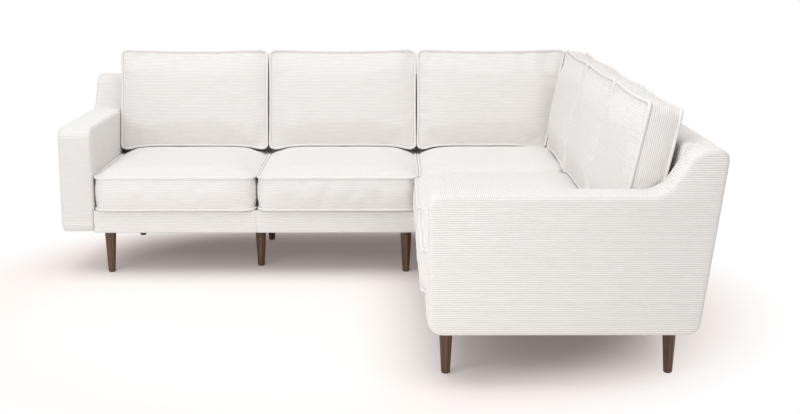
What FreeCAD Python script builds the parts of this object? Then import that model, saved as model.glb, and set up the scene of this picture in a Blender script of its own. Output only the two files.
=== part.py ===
import FreeCAD, Part
import math
import os

from FreeCAD import Vector

# Corner sofa: two two-seat wings and a corner seat between them, on turned wooden legs.
# Millimetres, Z up. The origin is on the floor, at the middle of the square that the sofa fills.
# Each wing is drawn in its own frame: x runs along the seats and ends at 0 against the corner
# section, y runs from the front of the rail to the back, and the right wing is the left one
# mirrored over the line x = y.

# Sizes of a section
SEAT_PITCH = 686.0  # seam to seam along the wing
SEAT_DEPTH = 593.0  # front of the rail to the back cushions, at the seats' top edge
BACK_THICKNESS = 115.6  # of the upholstered back at its top, to its furthest point
LEG_HEIGHT = 182.0  # floor to the underside of the base
RAIL_HEIGHT = 96.0  # underside of the base to the seat cushions
SEAM_GAP = 1.0  # between two sections

# Arm and back outlines
ARM_THICKNESS = 140.0
ARM_RISE = 445.0  # underside of the base to the top of the arm
BACK_RISE = 589.0  # underside of the base to the top of the back
REAR_SLOPE = 0.13  # how far the back leans out for each millimetre up
ARM_FRONT_TOP_RADIUS = 40.0
ARM_FRONT_FOOT_RADIUS = 48.0
REAR_FOOT_RADIUS = 40.0
OUTER_CORNER_RADIUS = 35.0  # of the upright corner where the two backs meet
BACK_TOP_RADIUS = 35.0
BACK_FRONT_RADIUS = 20.0
BACK_TOP_LENGTH = 102.3  # from the end of the arm's rise to the rear, before rounding
SWEEP_ANGLE = 57.0  # degrees, of the rise
SWEEP_LOW_RADIUS = 95.0
SWEEP_HIGH_RADIUS = 86.0
ARM_EDGE_RADIUS = 12.0
LARGEST_ARC_SHARE = 0.98  # of a side, for the arcs at its two ends together

# Cushions
SEAT_EDGE_HEIGHT = 144.0
SEAT_CROWN = 28.0
SEAT_OVERHANG = 21.0
SEAT_FRONT_BULGE = 14.0
SEAT_FRONT_CORNER = 46.0
SEAT_REAR_CORNER = 14.0
COVER_CLOTH = 3.0
BACK_CUSHION_HEIGHT = 494.0  # along its lean, from the seats' top edge
BACK_CUSHION_THICKNESS = 115.0
BACK_CUSHION_LEAN = 12.1  # degrees
BACK_CUSHION_FRONT_CROWN = 33.0
BACK_CUSHION_REAR_CROWN = 20.0
BACK_CUSHION_CORNER = 24.0
CUSHION_CLEARANCE = 0.5
FOOT_SWELL = 8.0  # how far the foot of a back cushion swells forwards

# Padding and cloth
PADDING = 12.0
ARM_PADDING = 14.0
DECK_PADDING = 6.0
UNDER_WRAP = 3.0  # cloth, plates and staples between the frame and the underside
WRAP_LAP = 24.0
DUST_CLOTH = 1.5
CUTOUT_CLEARANCE = 0.5

# Wooden frame
BOARD = 32.0
CENTRE_BOARD = 60.0
LEG_BLOCK = 64.0
RIB = 28.0
TOP_RAIL_HEIGHT = 70.0
CORNER_POST = 40.0
ARM_PANEL = 15.0
ARM_POST = 40.0
WEBBING_WIDTH = 60.0
WEBBING_THICKNESS = 2.5
WEBBING_BANDS = 3
WEBBING_FOOT = 60.0  # above the seat's deck
WEBBING_HEAD = 51.0  # below the top rail

# Seat springs
WIRE_RADIUS = 1.8
WIRE_SIDES = 8
SPRING_WIDTH = 52.0
SPRING_BEND = 13.0
SPRINGS_PER_SEAT = 5
CLIP_SIZE = 12.0
CLIP_WIDTH = 16.0
CLIP_WALL = 1.2
WIRE_CLEARANCE = 0.1

# Legs and fixings
LEG_TOP_RADIUS = 24.5
LEG_FOOT_RADIUS = 15.0
LEG_END_INSET = 54.3  # from the end of the base
LEG_FRONT_INSET = 63.8
LEG_REAR_INSET = 41.8  # from the back of the rear rail, as for the insets below
CENTRE_LEG_FRONT_INSET = 171.0
CENTRE_LEG_REAR_INSET = 149.0
GLIDE_RADIUS = 12.0
GLIDE_HEIGHT = 4.0
PLATE_SIZE = 58.0
HANGER_RADIUS = 4.0
HANGER_IN_LEG = 40.0
HANGER_IN_BLOCK = 34.0
BOLT_RADIUS = 4.0
BOLT_HEAD_RADIUS = 9.0
BOLT_HEAD_HEIGHT = 5.0
BOLT_CLEARANCE = 0.1
ARM_BOLT_FRONT_INSET = 190.0
ARM_BOLT_REAR_INSET = 188.6
ARM_BOLTS = 3
CONNECTOR_LENGTH = 44.0
CONNECTOR_WIDTH = 70.0
CONNECTOR_FRONT_INSET = 190.0
CONNECTOR_REAR_INSET = 278.6

# Levels and lines that follow from the sizes
RAIL_TOP = LEG_HEIGHT + RAIL_HEIGHT
ARM_TOP = LEG_HEIGHT + ARM_RISE
BACK_TOP = LEG_HEIGHT + BACK_RISE
FRAME_FOOT = LEG_HEIGHT + UNDER_WRAP
FRAME_TOP = RAIL_TOP - DECK_PADDING
CUSHION_FOOT = RAIL_TOP + CUSHION_CLEARANCE
SEAT_EDGE = RAIL_TOP + SEAT_EDGE_HEIGHT
WING_LENGTH = 2 * SEAT_PITCH
SEAM = SEAM_GAP / 2
LEAN = math.radians(BACK_CUSHION_LEAN)
REAR_LEAN = math.atan(REAR_SLOPE)


def seat_crown_at(y):
    """Rise of the corner seat's top over its edge, in its middle at depth y."""
    share = (y - SEAM) / (SEAT_REAR - SEAM)
    return SEAT_CROWN * 4 * share * (1 - share)


def back_face(z):
    """Depth of the back's upholstered front at height z. It is parallel to the back cushions."""
    behind = BACK_CUSHION_THICKNESS + BACK_CUSHION_REAR_CROWN + CUSHION_CLEARANCE
    return SEAT_DEPTH + behind / math.cos(LEAN) + (z - SEAT_EDGE) * math.tan(LEAN)


# Front of the rail to the furthest point of the back
SECTION_DEPTH = back_face(BACK_TOP) + BACK_THICKNESS


def rear_line(z):
    """Depth of the sofa's leaning rear face at height z, before its top corner is rounded."""
    rounding = BACK_TOP_RADIUS * (math.tan(REAR_LEAN) + 1 / math.cos(REAR_LEAN) - 1)
    return SECTION_DEPTH + rounding - (BACK_TOP - z) * REAR_SLOPE


OVERALL = WING_LENGTH + ARM_THICKNESS + SECTION_DEPTH
INNER_CORNER = OVERALL / 2 - SECTION_DEPTH
FAR = 2 * SECTION_DEPTH  # past every face of a section
SWEEP_END = rear_line(BACK_TOP) - BACK_TOP_LENGTH
SWEEP_START = SWEEP_END - (BACK_RISE - ARM_RISE) / math.tan(math.radians(SWEEP_ANGLE))
SEAT_REAR = back_face(RAIL_TOP) - CUSHION_CLEARANCE
BACK_FOOT = SEAT_EDGE + seat_crown_at(SEAT_DEPTH - FOOT_SWELL) + CUSHION_CLEARANCE
SPRING_RAIL = back_face(FRAME_TOP) - BOARD / 2
REAR_RAIL_BACK = rear_line(FRAME_FOOT) - PADDING / math.cos(REAR_LEAN)
REAR_RAIL = REAR_RAIL_BACK - BOARD
FRONT_RAIL_BACK = PADDING + BOARD
LEG_REAR_LINE = REAR_RAIL_BACK - LEG_REAR_INSET
SPRING_LEVEL = FRAME_TOP - CLIP_WALL - WIRE_CLEARANCE - WIRE_RADIUS

written = []


def write(shape, node):
    """Write one node, and stop if one of its solids isn't sound."""
    if not shape.isValid() or not shape.Solids or shape.Volume <= 0:
        raise ValueError(node + " isn't a sound solid")
    shape.exportStep("parts/" + node + ".step")
    written.append(node)
    print(node, len(shape.Solids), "solids", round(shape.Volume / 1000), "cm3")


def side_view(y, z):
    return Vector(0, y, z)


def plan_view(x, y):
    return Vector(x, y, 0)


def front_view(x, z):
    return Vector(x, 0, z)


def fitted_reaches(points, reaches):
    """How far each corner's arc runs along its sides, cut down where two arcs would meet."""
    fitted = []
    for i, reach in enumerate(reaches):
        for j in (i - 1, (i + 1) % len(points)):
            side = (points[j] - points[i]).Length
            if reaches[i] + reaches[j] > side * LARGEST_ARC_SHARE:
                reach = min(reach, reaches[i] * side * LARGEST_ARC_SHARE / (reaches[i] + reaches[j]))
        fitted.append(reach)
    return fitted


def outline(corners, view):
    """Closed wire through (a, b, radius) corners, each rounded by an arc of its radius."""
    points = [view(a, b) for a, b, radius in corners]
    turns = []
    for i, here in enumerate(points):
        back = (points[i - 1] - here).normalize()
        ahead = (points[(i + 1) % len(points)] - here).normalize()
        turns.append((back, ahead, (math.pi - back.getAngle(ahead)) / 2))
    reaches = [corner[2] * math.tan(turn[2]) for corner, turn in zip(corners, turns)]
    stretches = []
    for here, turn, reach in zip(points, turns, fitted_reaches(points, reaches)):
        back, ahead, half_turn = turn
        inward = (back + ahead).normalize()
        crest = here + inward * reach * (1 - math.cos(half_turn)) / math.sin(half_turn)
        stretches.append((here + back * reach, crest, here + ahead * reach))
    edges = []
    for i, (start, crest, end) in enumerate(stretches):
        if corners[i][2] > 0:
            edges.append(Part.Arc(start, crest, end).toShape())
        following = stretches[(i + 1) % len(stretches)][0]
        edges.append(Part.LineSegment(end, following).toShape())
    return Part.Wire(edges)


def prism(corners, view, start, length):
    """Solid of an outline, moved by start and extruded along length."""
    face = Part.Face(outline(corners, view))
    face.translate(start)
    return face.extrude(length)


def slab(corners, x0, x1):
    """Side outline of (y, z, radius) corners, extruded from x0 to x1."""
    return prism(corners, side_view, Vector(x0, 0, 0), Vector(x1 - x0, 0, 0))


def block(x0, x1, y0, y1, z0, z1):
    return Part.makeBox(x1 - x0, y1 - y0, z1 - z0, Vector(x0, y0, z0))


def inset(corners, distance):
    """The outline moved inwards by distance. Its corners run clockwise."""
    moved = []
    for i, here in enumerate(corners):
        lines = []
        for a, b in ((corners[i - 1], here), (here, corners[(i + 1) % len(corners)])):
            along = Vector(b[0] - a[0], b[1] - a[1], 0).normalize()
            inward = Vector(along.y, -along.x, 0)
            lines.append((Vector(a[0], a[1], 0) + inward * distance, along))
        (p, u), (q, v) = lines
        cross = u.x * v.y - u.y * v.x
        reach = ((q.x - p.x) * v.y - (q.y - p.y) * v.x) / cross
        radius = here[2] - distance if cross < 0 else here[2] + distance
        moved.append((p.x + u.x * reach, p.y + u.y * reach, max(radius, 0)))
    return moved


def beyond_mitre(gap):
    """Half-space on the right wing's side of the diagonal x = y, less half of a gap."""
    shift = gap / math.sqrt(2)
    corners = [(-FAR - shift, -FAR, 0), (FAR - shift, FAR, 0), (FAR, -FAR, 0)]
    return prism(corners, plan_view, Vector(0, 0, -FAR), Vector(0, 0, 2 * FAR))


def mirrored(shape):
    """The same piece on the other side of the diagonal."""
    return shape.mirror(Vector(0, 0, 0), Vector(1, -1, 0))


def placed(shape):
    """From a section's frame to the sofa's."""
    return shape.translated(Vector(INNER_CORNER, INNER_CORNER, 0))


def swelling(x0, x1, y0, y1, rise):
    """Lens on the plane z = 0: flat below, and rising to a crown in the middle above."""
    xs = (x0, (x0 + x1) / 2, x1)
    ys = (y0, (y0 + y1) / 2, y1)
    patch = Part.BezierSurface()
    patch.increase(2, 2)
    for i, x in enumerate(xs):
        for j, y in enumerate(ys):
            middle = i == 1 and j == 1
            patch.setPole(i + 1, j + 1, Vector(x, y, 4 * rise if middle else 0))
    top = patch.toShape()
    foot = Part.Face(Part.Wire(Part.__sortEdges__(top.Edges)))
    return Part.Solid(Part.Shell([top, foot]))


# Outlines seen from the side, clockwise from the rear foot.
def arm_corners():
    return [
        (rear_line(LEG_HEIGHT), LEG_HEIGHT, REAR_FOOT_RADIUS),
        (0, LEG_HEIGHT, ARM_FRONT_FOOT_RADIUS),
        (0, ARM_TOP, ARM_FRONT_TOP_RADIUS),
        (SWEEP_START, ARM_TOP, SWEEP_LOW_RADIUS),
        (SWEEP_END, BACK_TOP, SWEEP_HIGH_RADIUS),
        (rear_line(BACK_TOP), BACK_TOP, BACK_TOP_RADIUS),
    ]


def back_corners():
    skirt = rear_line(LEG_HEIGHT) - PADDING / math.cos(REAR_LEAN)
    ledge = rear_line(FRAME_TOP) - PADDING / math.cos(REAR_LEAN)
    return [
        (rear_line(LEG_HEIGHT), LEG_HEIGHT, 0),
        (skirt, LEG_HEIGHT, 0),
        (ledge, FRAME_TOP, 0),
        (back_face(FRAME_TOP), FRAME_TOP, 0),
        (back_face(BACK_TOP), BACK_TOP, BACK_FRONT_RADIUS),
        (rear_line(BACK_TOP), BACK_TOP, BACK_TOP_RADIUS),
    ]


def back_cavity(foot, top):
    """Room inside the back's upholstery from one height to another."""
    front = PADDING / math.cos(LEAN)
    rear = PADDING / math.cos(REAR_LEAN)
    return [
        (rear_line(foot) - rear, foot, 0),
        (back_face(foot) + front, foot, 0),
        (back_face(top) + front, top, 0),
        (rear_line(top) - rear, top, 0),
    ]


CAVITY_TOP = BACK_TOP - PADDING


# Base of a section
def long_boards(x0, x1, front, bays):
    """Front rail, rear rail, and in each bay the rail that the springs reach."""
    boards = [
        block(x0, x1, front, front + BOARD, FRAME_FOOT, FRAME_TOP),
        block(x0, x1, REAR_RAIL, REAR_RAIL_BACK, FRAME_FOOT, FRAME_TOP),
    ]
    for bay_start, bay_end in bays:
        rail = (SPRING_RAIL, SPRING_RAIL + BOARD, FRAME_FOOT, FRAME_TOP)
        boards.append(block(bay_start, bay_end, *rail))
    return boards


def cross_board(x0, x1, y0, y1):
    return block(x0, x1, y0, y1, FRAME_FOOT, FRAME_TOP)


def hanger(spot, clearance=0.0):
    """Double-ended screw that holds a leg to its block, or the hole that takes it."""
    radius = HANGER_RADIUS + clearance
    foot = LEG_HEIGHT - HANGER_IN_LEG - clearance
    length = HANGER_IN_LEG + UNDER_WRAP + HANGER_IN_BLOCK + 2 * clearance
    return Part.makeCylinder(radius, length, Vector(spot[0], spot[1], foot))


def drilled(shape, spots):
    for spot in spots:
        shape = shape.cut(hanger(spot, BOLT_CLEARANCE))
    return shape


def leg(spot):
    """Turned leg that tapers straight from its shoulder to its glide."""
    height = LEG_HEIGHT - GLIDE_HEIGHT
    foot = Vector(spot[0], spot[1], GLIDE_HEIGHT)
    cone = Part.makeCone(LEG_FOOT_RADIUS, LEG_TOP_RADIUS, height, foot)
    return drilled(cone, [spot])


def glide(spot):
    return Part.makeCylinder(GLIDE_RADIUS, GLIDE_HEIGHT, Vector(spot[0], spot[1], 0))


def leg_plate(spot, margin=0.0):
    """Steel plate let in under the base at a leg, or the cut-out round it."""
    half = PLATE_SIZE / 2 + margin
    x, y = spot
    return block(x - half, x + half, y - half, y + half, LEG_HEIGHT, FRAME_FOOT)


def leg_block(x0, y0):
    """Corner block between two boards, low enough to stay clear of the springs."""
    top = FRAME_TOP - 2 * WIRE_RADIUS - CLIP_SIZE
    return block(x0, x0 + LEG_BLOCK, y0, y0 + LEG_BLOCK, FRAME_FOOT, top)


def connector(y, margin=0.0):
    """Steel plate screwed under two sections across their seam, or the cut-out round it."""
    half = CONNECTOR_LENGTH / 2 + margin
    side = CONNECTOR_WIDTH / 2 + margin
    return block(-half, half, y - side, y + side, LEG_HEIGHT, FRAME_FOOT)


CONNECTOR_PLACES = (CONNECTOR_FRONT_INSET, REAR_RAIL_BACK - CONNECTOR_REAR_INSET)


def dust_cover(x0, x1, y0, y1, spots, plates):
    """Thin cloth stapled under the base, cut out round the leg plates and connectors."""
    cloth = block(x0, x1, y0, y1, FRAME_FOOT - DUST_CLOTH, FRAME_FOOT)
    for spot in spots:
        cloth = cloth.cut(leg_plate(spot, CUTOUT_CLEARANCE))
    for plate in plates:
        cloth = cloth.cut(plate)
    return cloth


# Seat springs
def spring_ends(front):
    return front + CLIP_SIZE / 2, SPRING_RAIL - CLIP_SIZE / 2


def wire_section(centre):
    """Section of a spring's wire, drawn with a few flats, which keeps many springs light."""
    points = []
    for i in range(WIRE_SIDES):
        angle = 2 * math.pi * i / WIRE_SIDES
        points.append(centre + Vector(0, math.cos(angle), math.sin(angle)) * WIRE_RADIUS)
    return Part.Face(Part.makePolygon(points + points[:1]))


def spring(x, front):
    """Sinuous wire spring: bars across, joined by half-round bends at alternate sides."""
    start, end = spring_ends(front)
    bends = round((end - start) / (2 * SPRING_BEND))
    radius = (end - start) / (2 * bends)
    reach = SPRING_WIDTH / 2 - radius
    edges = []
    side = 1
    for i in range(bends):
        y = start + 2 * radius * i
        here = Vector(x + side * reach, y, SPRING_LEVEL)
        crest = here + Vector(side * radius, radius, 0)
        after = here + Vector(0, 2 * radius, 0)
        edges.append(Part.LineSegment(here - Vector(2 * side * reach, 0, 0), here).toShape())
        edges.append(Part.Arc(here, crest, after).toShape())
        side = -side
    last = Vector(x - side * reach, end, SPRING_LEVEL)
    edges.append(Part.LineSegment(last, last + Vector(2 * side * reach, 0, 0)).toShape())
    path = Part.Wire(edges)
    return path.makePipe(wire_section(path.Vertexes[0].Point))


def clips(x, front):
    """The two clips that hold a spring's first and last bars to the rails."""
    pieces = []
    for y in spring_ends(front):
        foot = SPRING_LEVEL - CLIP_SIZE / 2
        half = CLIP_WIDTH / 2
        body = block(x - half, x + half, y - CLIP_SIZE / 2, y + CLIP_SIZE / 2, foot, FRAME_TOP)
        bar = Vector(x - CLIP_WIDTH, y, SPRING_LEVEL)
        bore = Part.makeCylinder(
            WIRE_RADIUS + WIRE_CLEARANCE, 2 * CLIP_WIDTH, bar, Vector(1, 0, 0)
        )
        pieces.append(body.cut(bore))
    return pieces


def spring_places(x0, x1):
    """Centre lines of the springs in a bay, evenly spaced."""
    pitch = (x1 - x0) / SPRINGS_PER_SEAT
    return [x0 + pitch * (i + 0.5) for i in range(SPRINGS_PER_SEAT)]


# Back of a section
def ribs(places):
    """Upright boards cut to the room inside the back, each starting at its place."""
    return [slab(back_cavity(FRAME_TOP, CAVITY_TOP), x, x + RIB) for x in places]


def top_rail(x0, x1):
    return slab(back_cavity(CAVITY_TOP - TOP_RAIL_HEIGHT, CAVITY_TOP), x0, x1)


def webbing(x0, x1):
    """Elastic bands across a bay, just behind the padding of the back's front."""
    bands = []
    front = PADDING / math.cos(LEAN)
    first = RAIL_TOP + WEBBING_FOOT
    last = CAVITY_TOP - TOP_RAIL_HEIGHT - WEBBING_HEAD - WEBBING_WIDTH
    for i in range(WEBBING_BANDS):
        foot = first + (last - first) * i / (WEBBING_BANDS - 1)
        top = foot + WEBBING_WIDTH
        band = [
            (back_face(foot) + front + WEBBING_THICKNESS, foot, 0),
            (back_face(foot) + front, foot, 0),
            (back_face(top) + front, top, 0),
            (back_face(top) + front + WEBBING_THICKNESS, top, 0),
        ]
        bands.append(slab(band, x0, x1))
    return bands


def back_cover(x0, x1):
    """Padded cloth over the back: a hood that is open below, where the frame comes in."""
    room = slab(back_cavity(FRAME_TOP, CAVITY_TOP), x0, x1)
    return slab(back_corners(), x0, x1).cut(room)


# Arm
def arm_place():
    outer = -WING_LENGTH - ARM_THICKNESS
    return outer, -WING_LENGTH


def arm_room():
    """Outline of the room inside the arm's upholstery."""
    return inset(arm_corners(), ARM_PADDING)


def arm_frame():
    """Two plywood panels, with posts and rails between them."""
    outer, inner = arm_place()
    room = arm_room()
    left = outer + ARM_PADDING
    right = inner - ARM_PADDING
    panels = [slab(room, left, left + ARM_PANEL), slab(room, right - ARM_PANEL, right)]
    x0, x1 = left + ARM_PANEL, right - ARM_PANEL
    front, foot = room[1][:2]
    top = room[2][1]
    head = room[-1][1]
    lower = foot + ARM_POST
    rear = rear_line(lower) - ARM_PADDING / math.cos(REAR_LEAN)
    lean = (head - lower) * REAR_SLOPE
    rear_post = [
        (rear, lower, 0),
        (rear - ARM_POST, lower, 0),
        (rear + lean - ARM_POST, head, 0),
        (rear + lean, head, 0),
    ]
    between = [
        block(x0, x1, front, rear, foot, lower),
        block(x0, x1, front, front + ARM_POST, lower, top),
        block(x0, x1, front + ARM_POST, SWEEP_START - ARM_POST, top - ARM_POST, top),
        slab(rear_post, x0, x1),
    ]
    inside = slab(room, x0, x1)
    return panels + [piece.common(inside) for piece in between]


def arm_cover():
    """Padded cloth over the arm, with soft edges and a stapled opening at the underside."""
    outer, inner = arm_place()
    shell = slab(arm_corners(), outer, inner)
    edges = [e for e in shell.Edges if e.BoundBox.XLength < CUTOUT_CLEARANCE]
    shell = shell.makeFillet(ARM_EDGE_RADIUS, edges)
    x0, x1 = outer + ARM_PADDING, inner - ARM_PADDING
    shell = shell.cut(slab(arm_room(), x0, x1))
    y0, y1 = 2 * ARM_FRONT_FOOT_RADIUS, REAR_RAIL - REAR_FOOT_RADIUS
    opening = block(x0 + ARM_PANEL, x1 - ARM_PANEL, y0, y1, 0, LEG_HEIGHT + ARM_PADDING)
    return shell.cut(opening)


def arm_bolt_places():
    level = (FRAME_FOOT + FRAME_TOP) / 2
    first, last = ARM_BOLT_FRONT_INSET, REAR_RAIL_BACK - ARM_BOLT_REAR_INSET
    spacing = (last - first) / (ARM_BOLTS - 1)
    return [(first + spacing * i, level) for i in range(ARM_BOLTS)]


def arm_bolt(y, z, clearance=0.0):
    """Bolt from inside the base, through its end board into the arm."""
    head_face = -WING_LENGTH + BOARD
    tip = -WING_LENGTH - ARM_PADDING - ARM_PANEL
    length = head_face - tip + clearance
    shank = Part.makeCylinder(
        BOLT_RADIUS + clearance, length, Vector(tip - clearance, y, z), Vector(1, 0, 0)
    )
    head = Part.makeCylinder(
        BOLT_HEAD_RADIUS, BOLT_HEAD_HEIGHT, Vector(head_face, y, z), Vector(1, 0, 0)
    )
    return shank if clearance else shank.fuse(head)


def bolt_holes(shape):
    for y, z in arm_bolt_places():
        shape = shape.cut(arm_bolt(y, z, BOLT_CLEARANCE))
    return shape


# Cushions
def seat_plan(x0, x1, y0, y1, front_corner):
    return [
        (x0, y0, front_corner),
        (x1, y0, front_corner),
        (x1, y1, SEAT_REAR_CORNER),
        (x0, y1, SEAT_REAR_CORNER),
    ]


def seat_cushion(x0, x1, y0, front_corner, skin=0.0):
    """Crowned seat cushion, or with skin, the room inside its cover."""
    foot, edge = CUSHION_FOOT + skin, SEAT_EDGE - skin
    x0, x1, y0, y1 = x0 + skin, x1 - skin, y0 + skin, SEAT_REAR - skin
    plan = seat_plan(x0, x1, y0, y1, front_corner - skin)
    body = prism(plan, plan_view, Vector(0, 0, foot), Vector(0, 0, edge - foot))
    over = prism(plan, plan_view, Vector(0, 0, -SEAT_CROWN), Vector(0, 0, 3 * SEAT_CROWN))
    crown = swelling(x0, x1, y0, y1, SEAT_CROWN).common(over)
    return body.fuse(crown.translated(Vector(0, 0, edge)))


def front_bulge(x0, x1, y0):
    """The swollen front of a seat cushion, between its rounded corners."""
    start, end = x0 + SEAT_FRONT_CORNER, x1 - SEAT_FRONT_CORNER
    bulge = swelling(start, end, CUSHION_FOOT, SEAT_EDGE, SEAT_FRONT_BULGE)
    bulge.rotate(Vector(0, 0, 0), Vector(1, 0, 0), 90)
    bulge.translate(Vector(0, y0, 0))
    return bulge


def seat_cover_and_core(x0, x1, overhang):
    """A seat cushion's zipped cover, and the foam slab inside it."""
    y0 = -SEAT_OVERHANG if overhang else SEAM
    corner = SEAT_FRONT_CORNER if overhang else SEAT_REAR_CORNER
    body = seat_cushion(x0, x1, y0, corner)
    core = seat_cushion(x0, x1, y0, corner, COVER_CLOTH)
    if overhang:
        body = body.fuse(front_bulge(x0, x1, y0))
    return body.cut(core), core


def back_cushion(x0, x1, swell_end):
    """Back cushion: boxed sides, crowned faces and a flat foot, leaning on the back."""
    thickness, height = BACK_CUSHION_THICKNESS, BACK_CUSHION_HEIGHT
    body = block(x0, x1, 0, thickness, -height, height)
    front = swelling(x0, swell_end, 0, height, BACK_CUSHION_FRONT_CROWN)
    front.rotate(Vector(0, 0, 0), Vector(1, 0, 0), 90)
    rear = swelling(x0, swell_end, -height, 0, BACK_CUSHION_REAR_CROWN)
    rear.rotate(Vector(0, 0, 0), Vector(1, 0, 0), -90)
    rear.translate(Vector(0, thickness, 0))
    body = body.fuse(front).fuse(rear)
    face = [
        (x0, -height, 0),
        (x0, height, BACK_CUSHION_CORNER),
        (x1, height, BACK_CUSHION_CORNER),
        (x1, -height, 0),
    ]
    through = prism(face, front_view, Vector(0, -thickness, 0), Vector(0, 3 * thickness, 0))
    body = body.common(through)
    body.rotate(Vector(0, 0, 0), Vector(1, 0, 0), -BACK_CUSHION_LEAN)
    body.translate(Vector(0, SEAT_DEPTH, SEAT_EDGE))
    return body.common(block(-FAR, FAR, -FAR, FAR, BACK_FOOT, FAR))


def side_gaps(x0, x1):
    return x0 + CUSHION_CLEARANCE, x1 - CUSHION_CLEARANCE


# A wing: two seats and an arm
def wing_leg_spots():
    ends = (-WING_LENGTH + LEG_END_INSET, -LEG_END_INSET)
    spots = [(x, y) for x in ends for y in (LEG_FRONT_INSET, LEG_REAR_LINE)]
    lines = (CENTRE_LEG_FRONT_INSET, REAR_RAIL_BACK - CENTRE_LEG_REAR_INSET)
    return spots, [(-SEAT_PITCH, y) for y in lines]


def wing():
    """Every fixed piece of a wing, by name, in the wing's frame."""
    x0, x1 = -WING_LENGTH, -SEAM
    centre = (-SEAT_PITCH - CENTRE_BOARD / 2, -SEAT_PITCH + CENTRE_BOARD / 2)
    bays = ((x0 + BOARD, centre[0]), (centre[1], x1 - BOARD))
    corner_spots, centre_spots = wing_leg_spots()
    spots = corner_spots + centre_spots
    run = (FRONT_RAIL_BACK, REAR_RAIL)
    cross = [
        bolt_holes(cross_board(x0, x0 + BOARD, *run)),
        drilled(cross_board(centre[0], centre[1], *run), centre_spots),
        cross_board(x1 - BOARD, x1, *run),
    ]
    block_xs = (x0 + BOARD, x1 - BOARD - LEG_BLOCK)
    block_ys = (FRONT_RAIL_BACK, REAR_RAIL - LEG_BLOCK)
    blocks = [drilled(leg_block(x, y), corner_spots) for x in block_xs for y in block_ys]
    rail_cloth = [
        (0, LEG_HEIGHT, 0),
        (0, RAIL_TOP, 0),
        (PADDING, RAIL_TOP, 0),
        (PADDING, FRAME_FOOT, 0),
        (PADDING + WRAP_LAP, FRAME_FOOT, 0),
        (PADDING + WRAP_LAP, LEG_HEIGHT, 0),
    ]
    rail_cover = slab(rail_cloth, x0, x1)
    for spot in spots:
        rail_cover = rail_cover.cut(leg_plate(spot, CUTOUT_CLEARANCE))
    deck_rear = back_face(FRAME_TOP) - CUTOUT_CLEARANCE
    rib_places = (x0, -SEAT_PITCH - RIB / 2, x1 - RIB)
    back_bays = list(zip((x + RIB for x in rib_places), rib_places[1:]))
    places = [x for bay in bays for x in spring_places(*bay)]
    plates = [connector(y, CUTOUT_CLEARANCE) for y in CONNECTOR_PLACES]
    cloth = (x0, x1, PADDING + WRAP_LAP + CUTOUT_CLEARANCE, REAR_RAIL_BACK - CUTOUT_CLEARANCE)
    return {
        "long_rails": long_boards(x0, x1, PADDING, bays),
        "cross_rails": cross,
        "leg_blocks": blocks,
        "rail_cover": [rail_cover],
        "springs": [spring(x, FRONT_RAIL_BACK) for x in places],
        "deck_cloth": [block(x0, x1, PADDING, deck_rear, FRAME_TOP, RAIL_TOP)],
        "dust_cover": [dust_cover(*cloth, spots, plates)],
        "back_frame": ribs(rib_places) + [top_rail(*bay) for bay in back_bays],
        "back_webbing": [band for bay in back_bays for band in webbing(*bay)],
        "back_cover": [back_cover(x0, x1)],
        "arm_frame": [bolt_holes(piece) for piece in arm_frame()],
        "arm_cover": [bolt_holes(arm_cover())],
        "arm_bolts": [arm_bolt(y, z) for y, z in arm_bolt_places()],
        "legs": [leg(spot) for spot in spots],
    }


def wing_fixings():
    """Clips, leg plates, hangers, glides and seam plates of a wing."""
    x0, x1 = -WING_LENGTH, -SEAM
    half = CENTRE_BOARD / 2
    bays = ((x0 + BOARD, -SEAT_PITCH - half), (-SEAT_PITCH + half, x1 - BOARD))
    corner_spots, centre_spots = wing_leg_spots()
    places = [x for bay in bays for x in spring_places(*bay)]
    fixings = leg_fixings(corner_spots + centre_spots)
    fixings["spring_clips"] = [clip for x in places for clip in clips(x, FRONT_RAIL_BACK)]
    fixings["section_connectors"] = [connector(y) for y in CONNECTOR_PLACES]
    return fixings


def leg_fixings(spots):
    return {
        "leg_plates": [drilled(leg_plate(spot), [spot]) for spot in spots],
        "leg_hangers": [hanger(spot) for spot in spots],
        "leg_glides": [glide(spot) for spot in spots],
    }


def wing_cushions():
    """The loose cushions of a wing, by name."""
    cushions = {}
    ends = {"end": -WING_LENGTH, "inner": -SEAT_PITCH}
    for name, start in ends.items():
        x0, x1 = side_gaps(start, start + SEAT_PITCH)
        cover, core = seat_cover_and_core(x0, x1, True)
        cushions[name + "_seat_cover"] = [cover]
        cushions[name + "_seat_core"] = [core]
        cushions[name + "_back_cushion"] = [back_cushion(x0, x1, x1)]
    return cushions


# The corner section: a square seat with a back on two sides
def corner_leg_spots():
    lines = (LEG_END_INSET, LEG_REAR_LINE)
    return [(x, y) for x in lines for y in lines]


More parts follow.
